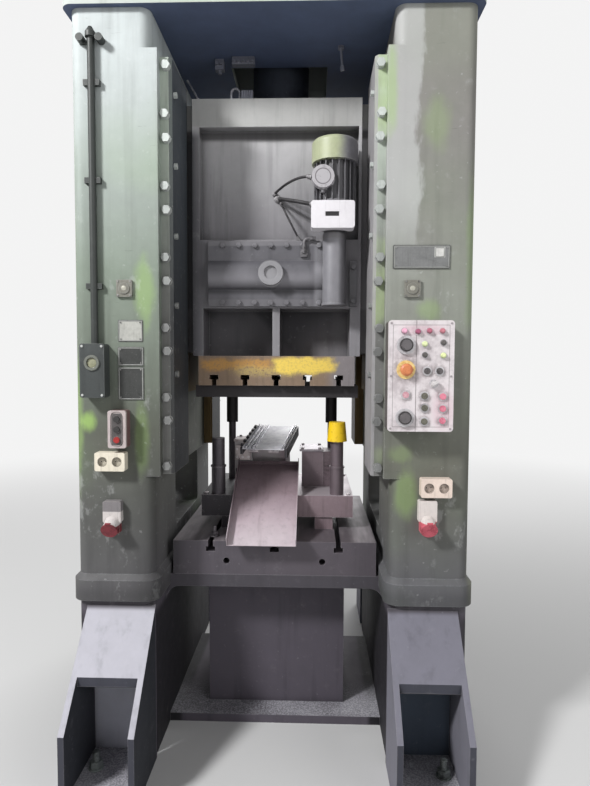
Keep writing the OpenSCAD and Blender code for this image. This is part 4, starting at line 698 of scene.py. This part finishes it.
def addRod(bm, start, along, length, radius, sides=24, bevel=0.001, tip=None, spin=0.0, foot=True):
    turn = along.to_track_quat("Z", "Y").to_matrix().to_4x4()
    place = Matrix.Translation(start) @ turn @ Matrix.Translation((0, 0, length / 2)) @ Matrix.Rotation(spin, 4, "Z")
    made = bmesh.ops.create_cone(bm, cap_ends=True, segments=sides, radius1=radius, radius2=tip or radius,
                                 depth=length, matrix=place)
    level, back = turn.inverted(), place.inverted()
    rims = {e for v in made["verts"] for e in v.link_edges if len({round((level @ w.co).z, 5) for w in e.verts}) == 1}
    if bevel:
        soften(bm, [e for e in rims if foot or (back @ e.verts[0].co).z > 0], bevel)


def pressIn(bm, before, along, smallest, land, slope, depth):  # sinks the newest face that looks along
    fresh = [f for f in bm.faces if f not in before and f.normal.dot(along) > 0.9 and f.calc_area() > smallest]
    bmesh.ops.inset_region(bm, faces=fresh, thickness=land, depth=0)
    bmesh.ops.inset_region(bm, faces=fresh, thickness=slope, depth=-depth)
    return fresh


def newPiece(name, bm, body, slot, *materials, smooth=False):
    meshData = bpy.data.meshes.new(name)
    bmesh.ops.recalc_face_normals(bm, faces=bm.faces)
    for face in bm.faces:
        face.smooth = smooth
    bm.to_mesh(meshData)
    bm.free()
    piece = bpy.data.objects.new(name, meshData)
    bpy.context.scene.collection.objects.link(piece)
    for material in materials:
        meshData.materials.append(material)
    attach(piece, body)


def built(name, body, slot, material, blocks=(), rods=(), smooth=False):
    bm = bmesh.new()
    for block in blocks:
        addBlock(bm, *block)
    for rod in rods:
        addRod(bm, *rod)
    newPiece(name, bm, body, slot, material, smooth=smooth)


anchorBolt = {"x": 0.729, "y": 0.808, "base": 0.04, "stud": 0.015, "studTop": 0.112, "washer": 0.032,
              "nutAcross": 0.048}
bm = bmesh.new()
for x in (-anchorBolt["x"], anchorBolt["x"]):
    for y in (-anchorBolt["y"], anchorBolt["y"]):
        z, washer, nut = anchorBolt["base"], anchorBolt["washer"], anchorBolt["nutAcross"] / math.sqrt(3)
        addRod(bm, (x, y, 0.002), toTop, anchorBolt["studTop"] - 0.002, anchorBolt["stud"], 20, 0.003, foot=False)
        addRod(bm, (x, y, z), toTop, 0.006, washer, 28, 0, washer - 0.001)
        addRod(bm, (x, y, z + 0.006), toTop, 0.026, nut, 6, 0.002, spin=0.3 + x)
newPiece("anchorBolts", bm, "frame", "steel_dark", steelLook(
    "anchorSteel", (128, 134, 132), (66, 68, 68), (178, 180, 178), 0.4, 0.45, 0.3, 0.4, 8))

cables = {
    "motor": {"node": "motor_cable", "start": (-0.012, -0.3072, 2.560), "bend": (0.092, -0.520, 2.590),
              "end": (0.1648, -0.520, 2.5755), "radius": 0.006},
    "power": {"node": "power_cable", "start": (0.004, -0.3072, 2.536), "bend": (0.095, -0.424, 2.500),
              "end": (0.1799, -0.424, 2.479), "radius": 0.009},
    "sensor": {"node": "sensor_cable", "start": (0.020, -0.3072, 2.512), "bend": (0.030, -0.440, 2.470),
               "end": (0.110, -0.381, 2.326), "radius": 0.0045},
}
hoseTones = palette(base=(60, 58, 60), deep=(26, 25, 26), pale=(96, 94, 96))
look = Look("hoseCover", Specular_IOR_Level=0.4)
hoseMaterial = look.finish(look.worn(**hoseTones, scale=12), 0.5, strength=0.1, grain=0.15)


def addGland(bm, place, along, radius):
    along = along.normalized()
    rings = [(0, 0.007, 2.1, 1.95, 24), (0.0065, 0.017, 1.9, 1.9, 6), (0.0165, 0.024, 1.45, 1.3, 24)]
    for low, high, wide, narrow, sides in rings:
        addRod(bm, place + along * low, along, high - low, radius * wide, sides, radius * 0.08, radius * narrow)


glands = bmesh.new()
for name, cable in cables.items():
    start, bend, end = Vector(cable["start"]), Vector(cable["bend"]), Vector(cable["end"])
    out = start + Vector((0, -0.014, 0))
    line = [start] + [(out.lerp(bend, t)).lerp(bend.lerp(end, t), t) for t in (k / 24 for k in range(25))]
    curve = bpy.data.curves.new(name + "Hose", "CURVE")
    curve.dimensions = "3D"
    curve.bevel_depth = cable["radius"]
    curve.bevel_resolution = 4
    curve.use_fill_caps = True
    spline = curve.splines.new("POLY")
    spline.points.add(len(line) - 1)
    for point, place in zip(spline.points, line):
        point.co = (*place, 1)
    spline.use_smooth = True
    hose = bpy.data.objects.new(name + "Hose", curve)
    bpy.context.scene.collection.objects.link(hose)
    curve.materials.append(hoseMaterial)
    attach(hose, "ram")
    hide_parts(cable["node"])
    length = sum((b - a).length for a, b in zip(line, line[1:]))
    addGland(glands, start, toFront, cable["radius"])
    addGland(glands, end, line[-2] - line[-1], cable["radius"])
newPiece("hoseGlands", glands, "ram", "shaft_steel", steelLook(
    "glandSteel", (150, 148, 150), (88, 86, 88), (196, 194, 196), 0.7, 0.35, 0.3, 0.4, 12))


# fittings on the columns

def addScrew(bm, place, radius, height):
    before = set(bm.faces)
    addRod(bm, place, toFront, height, radius, 20, height * 0.3)
    pressIn(bm, before, toFront, radius ** 2, radius * 0.45, radius * 0.05, height / 2)


def addBlank(bm, x, z, wide, tall, y, rim=0.0035, proud=0.0018):
    before = set(bm.faces)
    place = Matrix.Translation((x, y - proud / 2, z)) @ Matrix.Diagonal((wide, proud, tall, 1))
    bmesh.ops.create_cube(bm, size=1, matrix=place)
    edges = {e for f in bm.faces if f not in before for e in f.edges}
    soften(bm, [e for e in edges if abs(e.verts[0].co.y - e.verts[1].co.y) > proud / 2], 0.003, 3)
    for face in pressIn(bm, before, toFront, wide * tall / 2, rim, 0.0006, 0.001):
        face.material_index = 1


wallPlates = {  # x, z, width, height and y of each blank
    "places": [(-0.603, 1.660, 0.105, 0.135, -0.683), (-0.603, 1.776, 0.105, 0.075, -0.683),
               (-0.603, 1.885, 0.101, 0.087, -0.682), (0.627, 2.196, 0.230, 0.091, -0.684)],
    "pale": [(0.702, 2.2145, 0.040, 0.041, -0.6848)], "rings": [(-0.626, 2.064), (0.590, 2.064)],
}
rim = palette(base=(150, 151, 148), bare=(190, 190, 188), wear=[0.5, 0.2, 0.4, 8, 0.0, 0.0])
rimMaterial = agedLook("plateRimPaint", rim, 0.4, 0.3, 0.15, 0.0006, Specular_IOR_Level=0.45)
blank = palette(left=(62, 63, 62), right=(120, 121, 121), upper=(178, 178, 172), pale=(206, 205, 202),
                bare=(176, 176, 172), upperFrom=(1.83, 1.835), paleWide=(0.680, 0.724), paleTall=(2.193, 2.236),
                wear=[0.6, 0.2, 0.5, 9, 0.0, 0.0])
look = Look("plateFieldPaint", Specular_IOR_Level=0.45)
upperLeft = look.rise(look.z, *blank["upperFrom"]) * (1 - look.onRight())
base = look.mix(look.mix(blank["left"], blank["right"], look.onRight()), blank["upper"], upperLeft)
paleCell = look.band(look.x, *blank["paleWide"], 0.001) * look.band(look.z, *blank["paleTall"], 0.001)
colour = look.aged(look.mix(base, blank["pale"], paleCell), blank)
blankMaterial = look.finish(colour, 0.42, 0.2)

bm = bmesh.new()
for plate in wallPlates["places"] + wallPlates["pale"]:
    addBlank(bm, *plate)
newPiece("plateBlanks", bm, "frame", "dark_fitting", rimMaterial, blankMaterial)

bm = bmesh.new()
for sx in (-1, 1):
    for sz in (-1, 1):
        for x, z, wide, tall, y in wallPlates["places"]:
            corner = (x + sx * (wide / 2 - 0.0085), y - 0.0008, z + sz * (tall / 2 - 0.0085))
            addScrew(bm, corner, 0.0034, 0.0028)
        for x, z in wallPlates["rings"]:
            addScrew(bm, (x + sx * 0.026, -0.692, z + sz * 0.029), 0.0038, 0.0024)
newPiece("plateScrews", bm, "frame", "steel_dark", steelLook(
    "plateScrewSteel", (150, 150, 148), (84, 84, 82), (196, 196, 194), 0.6, 0.4, 0.3, 0.4, 12))

ring = palette(base=(176, 174, 162), bare=(214, 210, 200), wear=[0.6, 0.2, 0.5, 12, 0.0, 0.0])
bm = bmesh.new()
for x, z in wallPlates["rings"]:
    place = Matrix.Translation((x + 0.0205, -0.6925, z)) @ Matrix.Rotation(math.pi, 4, "X")
    made = bmesh.ops.create_circle(bm, segments=8, radius=0.0032, matrix=place)
    bmesh.ops.spin(bm, geom=made["verts"] + list({e for v in made["verts"] for e in v.link_edges}),
                   cent=(x, -0.6925, z), axis=(0, 1, 0), angle=2 * math.pi, steps=36, use_merge=True)
    addRod(bm, (x, -0.689, z), toFront, 0.008, 0.0115, 24, 0.002)
ringMaterial = agedLook("ringPlatePaint", ring, 0.4, 0.3, Specular_IOR_Level=0.45)
newPiece("plateRings", bm, "frame", "steel_dark", ringMaterial, smooth=True)

windowLens = palette(base=(150, 150, 124), bare=(196, 196, 180), wear=[0.5, 0.1, 0.2, 12, 0.0, 0.0],
                     at=[-0.748, -0.741, 1.748], radius=0.0225, proud=0.004)
lens = (windowLens["at"], toFront, windowLens["proud"], windowLens["radius"], 36, 0.0028, windowLens["radius"] * 0.86)
built("windowLens", "frame", "dark_fitting", agedLook("windowLensGlass", windowLens, 0.2, strength=0.05, Coat_Weight=0.6),
      rods=[lens], smooth=True)


# oil fittings under the crown and on the slide

oilFittings = palette(
    base=(112, 114, 126), bare=(176, 176, 182), wear=[0.5, 0.2, 0.4, 8, 0.4, 0.0],
    crownBlocks=[((-0.168, -0.266, 3.204), (0.110, 0.040, 0.036), 0.003),
                 ((-0.286, -0.245, 3.197), (0.044, 0.040, 0.050), 0.003)],
    slideBlock=[(-0.143, -0.335, 3.010), (0.056, 0.030, 0.046), 0.003],
    arch={"left": -0.218, "right": -0.178, "y": -0.338, "foot": 2.987, "top": 3.044, "radius": 0.0055},
    pipe={"x": 0.298, "y": -0.36, "drop": 0.075, "radius": 0.006},
)
oilMaterial = agedLook("oilBlockPaint", oilFittings, 0.42, 0.2, soft=0.001, Specular_IOR_Level=0.45)
pipe, pipeWay = oilFittings["pipe"], Vector((0.1, 0.25, -1))
built("crownOilFittings", "frame", "steel_dark", oilMaterial, oilFittings["crownBlocks"], [
    *[((-0.212 + k * 0.022, -0.285, 3.197), toFront, 0.012, 0.006, 6) for k in range(5)],
    *[((-0.296 + k * 0.020, -0.264, 3.196), toFront, 0.016, 0.007, 6) for k in range(2)],
    ((-0.286, -0.245, 3.174), -toTop, 0.018, 0.009, 20, 0.002),
    ((pipe["x"], pipe["y"], 3.2225), -toTop, 0.016, 0.016, 6, 0.0015),
    ((pipe["x"], pipe["y"], 3.208), pipeWay, pipe["drop"], pipe["radius"], 20),
    ((pipe["x"] + 0.0065, pipe["y"] + 0.0165, 3.142), pipeWay, 0.022, 0.011, 6, 0.0015),
])
built("slideOilBlock", "ram", "steel_dark", oilMaterial, [
    oilFittings["slideBlock"],
    *[((-0.165 + k * 0.011, -0.3515, 3.011), (0.005, 0.006, 0.038), 0.0015) for k in range(5)],
], [((-0.165 + k * 0.011, -0.335, 3.032), toTop, 0.008, 0.0038, 6, 0.0008) for k in range(5)])


def addTube(bm, points, radius, sides=16):
    # a ring swept through the points, turned at each one
    line = [Vector(p) for p in points]
    rings = []
    for k, place in enumerate(line):
        along = (line[min(k + 1, len(line) - 1)] - line[max(k - 1, 0)]).normalized()
        turn = along.to_track_quat("Z", "Y").to_matrix().to_4x4()
        made = bmesh.ops.create_circle(bm, segments=sides, radius=radius, matrix=Matrix.Translation(place) @ turn)
        rings.append(list({e for v in made["verts"] for e in v.link_edges}))
    for first, second in zip(rings, rings[1:]):
        bmesh.ops.bridge_loops(bm, edges=first + second)
    for ring in (rings[0], rings[-1]):
        bmesh.ops.holes_fill(bm, edges=ring, sides=0)


arch = oilFittings["arch"]
reach, middle = (arch["right"] - arch["left"]) / 2, (arch["left"] + arch["right"]) / 2
bow = [(middle - reach * math.cos(t), arch["y"], arch["top"] - reach + reach * math.sin(t))
       for t in (math.pi * k / 14 for k in range(15))]
feet = [(arch[side], arch["y"], arch["foot"]) for side in ("left", "right")]
bm = bmesh.new()
addTube(bm, [feet[0], *bow, feet[1]], arch["radius"])
for foot in feet:
    addRod(bm, foot, toTop, 0.012, 0.010, 6)
addTube(bm, [(-0.376, -0.345, 2.987), (-0.378, -0.342, 2.999), (-0.386, -0.336, 3.016), (-0.400, -0.326, 3.042),
             (-0.418, -0.314, 3.074), (-0.430, -0.306, 3.094)], 0.0045)
addRod(bm, (-0.376, -0.345, 2.987), toTop, 0.010, 0.009, 6)
addRod(bm, (-0.428, -0.3075, 3.090), Vector((-0.42, 0.28, 0.86)), 0.012, 0.0065, 6)
newPiece("slideOilPipes", bm, "ram", "shaft_steel", steelLook(
    "oilPipeSteel", (168, 168, 174), (112, 112, 118), (206, 206, 210), 0.5, 0.35, 0.3, 0.4, 12))

# union on the gear case, where the thin hose ends
bm = bmesh.new()
addBlock(bm, (0.132, -0.399, 2.262), (0.034, 0.014, 0.034), 0.003)
addRod(bm, (0.132, -0.402, 2.262), toTop, 0.046, 0.0105, 24, 0.0015)
addRod(bm, (0.132, -0.402, 2.268), toTop, 0.013, 0.0145, 6, 0.0012)
addTube(bm, [(0.132, -0.402, 2.300), (0.132, -0.402, 2.312), (0.135, -0.402, 2.322), (0.143, -0.402, 2.329),
             (0.153, -0.402, 2.331), (0.166, -0.402, 2.331)], 0.0085)
addRod(bm, (0.160, -0.402, 2.331), Vector((1, 0, 0)), 0.014, 0.0125, 6, 0.0012)
addRod(bm, (0.172, -0.402, 2.331), Vector((1, 0, 0)), 0.014, 0.0095, 24, 0.0015)
newPiece("gearCaseUnion", bm, "ram", "shaft_steel", steelLook(
    "unionSteel", (112, 110, 113), (66, 64, 66), (170, 168, 170), 0.4, 0.4, 0.3, 0.4, 12))


# die set details

rail = {"at": (-0.020, 0.126, 1.388), "yaw": -8, "slope": 11.6, "length": 0.376, "sheet": 0.002,
        "ribs": [(-0.088, 0.010, 0.012), (-0.068, 0.007, 0.010), (-0.046, 0.005, 0.008), (0.092, 0.008, 0.010)]}
railTurn = Matrix.Rotation(math.radians(rail["yaw"]), 4, "Z") @ Matrix.Rotation(math.radians(rail["slope"]), 4, "X")


def onRail(x, y, z):
    return Vector(rail["at"]) + railTurn @ Vector((x, y, z))


dieSteel = palette(base=(50, 48, 52), bare=(168, 162, 166), wear=[0.45, 0.15, 0.4, 6, 0.6, 0.0])
darkDie = agedLook("dieBracketSteel", dieSteel, 0.38, 0.3, soft=0.001)
brightDie = steelLook("diePinSteel", (206, 200, 202), (140, 132, 136), (232, 228, 230), 0.6, 0.28, 0.3, 0.4, 12)

built("railRibs", "frame", "rail_alu", steelLook(
    "railRibSteel", (214, 213, 218), (120, 118, 124), (236, 235, 240), 0.7, 0.25, 0.4, 0.4, 6),
    [(onRail(x, -0.190, rail["sheet"] + tall / 2 - 0.0005), (wide, rail["length"], tall), 0.0015, railTurn)
     for x, wide, tall in rail["ribs"]])
built("railBeams", "frame", "steel_dark", darkDie, [
    (onRail(0.114, -0.190, -0.020), (0.012, 0.372, 0.052), 0.002, railTurn),
    (onRail(-0.116, -0.190, -0.012), (0.014, 0.372, 0.036), 0.002, railTurn),
    *[(onRail(-0.116, -0.34 + k * 0.058, 0.011), (0.020, 0.030, 0.014), 0.003, railTurn) for k in range(6)],
])
built("railPins", "frame", "shaft_steel", brightDie, rods=[
    *[(onRail(x, -0.350, -0.018), railTurn @ Vector((1, 0, 0)), 0.052, 0.0095, 24, 0.0015) for x in (-0.084, 0.021)],
    *[(onRail(-0.116, -0.34 + k * 0.058, 0.0175), railTurn @ toTop, 0.006, 0.0055, 20, 0.0012) for k in range(6)],
])

diePlates = {  # finish, then the centre, size and bevel of each plate
    "dieClampPlates": (
        steelLook("clampPlateSteel", (186, 176, 176), (104, 92, 92), (222, 214, 212), 0.5, 0.32, 0.5, 0.5, 12),
        [((-0.195, -0.068, 1.270), (0.082, 0.014, 0.080), 0.002),
         ((-0.195, 0.009, 1.334), (0.100, 0.150, 0.012), 0.002)]),
    "dieLowPlate": (darkDie, [((-0.195, -0.069, 1.150), (0.078, 0.016, 0.070), 0.002)]),
    "dieSidePlate": (
        steelLook("sidePlateSteel", (118, 104, 110), (72, 62, 66), (168, 154, 160), 0.3, 0.4, 0.4, 0.4, 6),
        [((0.262, 0.018, 1.183), (0.056, 0.154, 0.187), 0.003)]),
    "dieCrossPlate": (
        steelLook("crossPlateSteel", (178, 172, 178), (132, 124, 130), (206, 200, 204), 0.4, 0.35, 0.4, 0.4, 6),
        [((0.170, 0.028, 1.284), (0.124, 0.190, 0.012), 0.002)]),
}
for name, (material, plates) in diePlates.items():
    built(name, "frame", "die_steel", material, plates)


def addSocketScrew(bm, place, along, radius, height=0.008):
    # a round head with a round socket
    before = set(bm.faces)
    addRod(bm, place, along, height, radius, 24, radius * 0.12)
    pressIn(bm, before, along, radius ** 2, radius * 0.42, radius * 0.02, height / 2)


dieScrews = [  # x places, y places, z places, direction, radius and height
    ((-0.226, -0.195, -0.164), (-0.075,), (1.248, 1.290), toFront, 0.0075, 0.008),
    ((-0.222, -0.168), (-0.077,), (1.150,), toFront, 0.0075, 0.008),
    ((-0.222, -0.168), (0.060,), (1.340,), toTop, 0.0075, 0.008),
    ((0.124, 0.216), (-0.048, 0.104), (1.290,), toTop, 0.0085, 0.008),
    ((-0.36, 0.36), (-0.24, 0.25), (1.088,), toTop, 0.011, 0.007),
]
bm = bmesh.new()
for across, along, tall, way, radius, height in dieScrews:
    for place in [(x, y, z) for x in across for y in along for z in tall]:
        addSocketScrew(bm, place, way, radius, height)
newPiece("dieScrews", bm, "frame", "shaft_steel", brightDie)

slotBolts = {"places": [(-0.292, -0.40), (-0.292, 0.40), (0.292, 0.40)],
             "washer": 0.026, "nut": 0.020, "stud": 0.0095, "top": 0.066}
bm = bmesh.new()
for x, y in slotBolts["places"]:
    addRod(bm, (x, y, 0.916), toTop, 0.005, slotBolts["washer"], 32)
    addRod(bm, (x, y, 0.9205), toTop, 0.018, slotBolts["nut"], 6, 0.0015)
    addRod(bm, (x, y, 0.905), toTop, slotBolts["top"] - 0.005, slotBolts["stud"], 24, 0.0015)
newPiece("slotBolts", bm, "frame", "steel_dark", steelLook(
    "slotBoltSteel", (132, 128, 132), (78, 74, 78), (184, 180, 184), 0.5, 0.38, 0.4, 0.4, 8))
print("pieces made")


# camera, light and ground

view = {"place": (0.1745, -3.1441, 1.7564), "yaw": 0.03, "pitch": -0.0539, "roll": 0.0044,
        "focalPixels": 579.6, "tall": 786}
yaw, pitch, roll = view["yaw"], view["pitch"], view["roll"]
ahead = Vector((-math.sin(yaw) * math.cos(pitch), math.cos(yaw) * math.cos(pitch), math.sin(pitch)))
level = Vector((math.cos(yaw), math.sin(yaw), 0))
over = level.cross(ahead)
right = level * math.cos(roll) + over * math.sin(roll)
up = over * math.cos(roll) - level * math.sin(roll)
cameraData = bpy.data.cameras.new("viewCamera")
cameraData.sensor_width = 36
cameraData.lens = 36 * view["focalPixels"] / view["tall"]
cameraData.clip_end = 200
camera = bpy.data.objects.new("viewCamera", cameraData)
bpy.context.scene.collection.objects.link(camera)
camera.matrix_world = Matrix.Translation(view["place"]) @ Matrix((right, up, -ahead)).transposed().to_4x4()
bpy.context.scene.camera = camera

softLamps = {  # place, aim, size and power
    "keyLamp": ((-4.5, -4.6, 6.2), (0, -0.5, 1.9), 1.1, 620),
    "fillLamp": ((4.6, -4.6, 3.2), (0, -0.4, 1.6), 4.0, 110),
    "backLamp": ((1.5, 6.0, 5.0), (0, 0.5, 2.2), 4.0, 300),
}
for name, (place, aim, size, power) in softLamps.items():
    lampData = bpy.data.lights.new(name, "AREA")
    lampData.shape = "SQUARE"
    lampData.size = size
    lampData.energy = power
    lamp = bpy.data.objects.new(name, lampData)
    lamp.location = place
    lamp.rotation_euler = (Vector(aim) - Vector(place)).to_track_quat("-Z", "Y").to_euler()
    bpy.context.scene.collection.objects.link(lamp)

# the floor turns into plain light far from the press, for the camera only
stage = {"size": 30, "tone": (0.62, 0.62, 0.62, 1), "fadeFrom": 1.4, "fadeTo": 9.0, "glow": 0.9}
look = Look("groundTone", Base_Color=stage["tone"], Roughness=0.9)
distance = look.node("ShaderNodeVectorMath", {"operation": "LENGTH"}, look.place, output="Value")
seen = look.node("ShaderNodeLightPath", {}, output="Is Camera Ray")
glow = look.node("ShaderNodeEmission", {}, Strength=stage["glow"])
blend = look.node("ShaderNodeMixShader", {}, look.rise(distance, stage["fadeFrom"], stage["fadeTo"]) * seen,
                  Field(look, look.shader.outputs[0]), glow)
look.feed(look.tree.nodes["Material Output"].inputs["Surface"], blend)
ground = bpy.data.meshes.new("groundPlane")
bm = bmesh.new()
bmesh.ops.create_grid(bm, x_segments=1, y_segments=1, size=stage["size"])
bm.to_mesh(ground)
bm.free()
ground.materials.append(look.material)
groundPiece = bpy.data.objects.new("groundPlane", ground)
bpy.context.scene.collection.objects.link(groundPiece)
groundPiece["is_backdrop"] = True

world = bpy.data.worlds.new("studioWorld")
bpy.context.scene.world = world
world.use_nodes = True
sky = Nodes(world.node_tree)
rays = sky.node("ShaderNodeLightPath", {}).socket.node.outputs
seen, glossy, through = (Field(sky, rays[kind]) for kind in ("Is Camera Ray", "Is Glossy Ray", "Is Transmission Ray"))
background = sky.tree.nodes["Background"]
background.inputs["Color"].default_value = (1, 1, 1, 1)
strength = sky.node("ShaderNodeMapRange", {}, seen.most(glossy).most(through), To_Min=0.25, To_Max=0.9)
sky.feed(background.inputs["Strength"], strength)

bpy.context.scene.view_settings.view_transform = "Standard"
low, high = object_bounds()
print("scene ready")
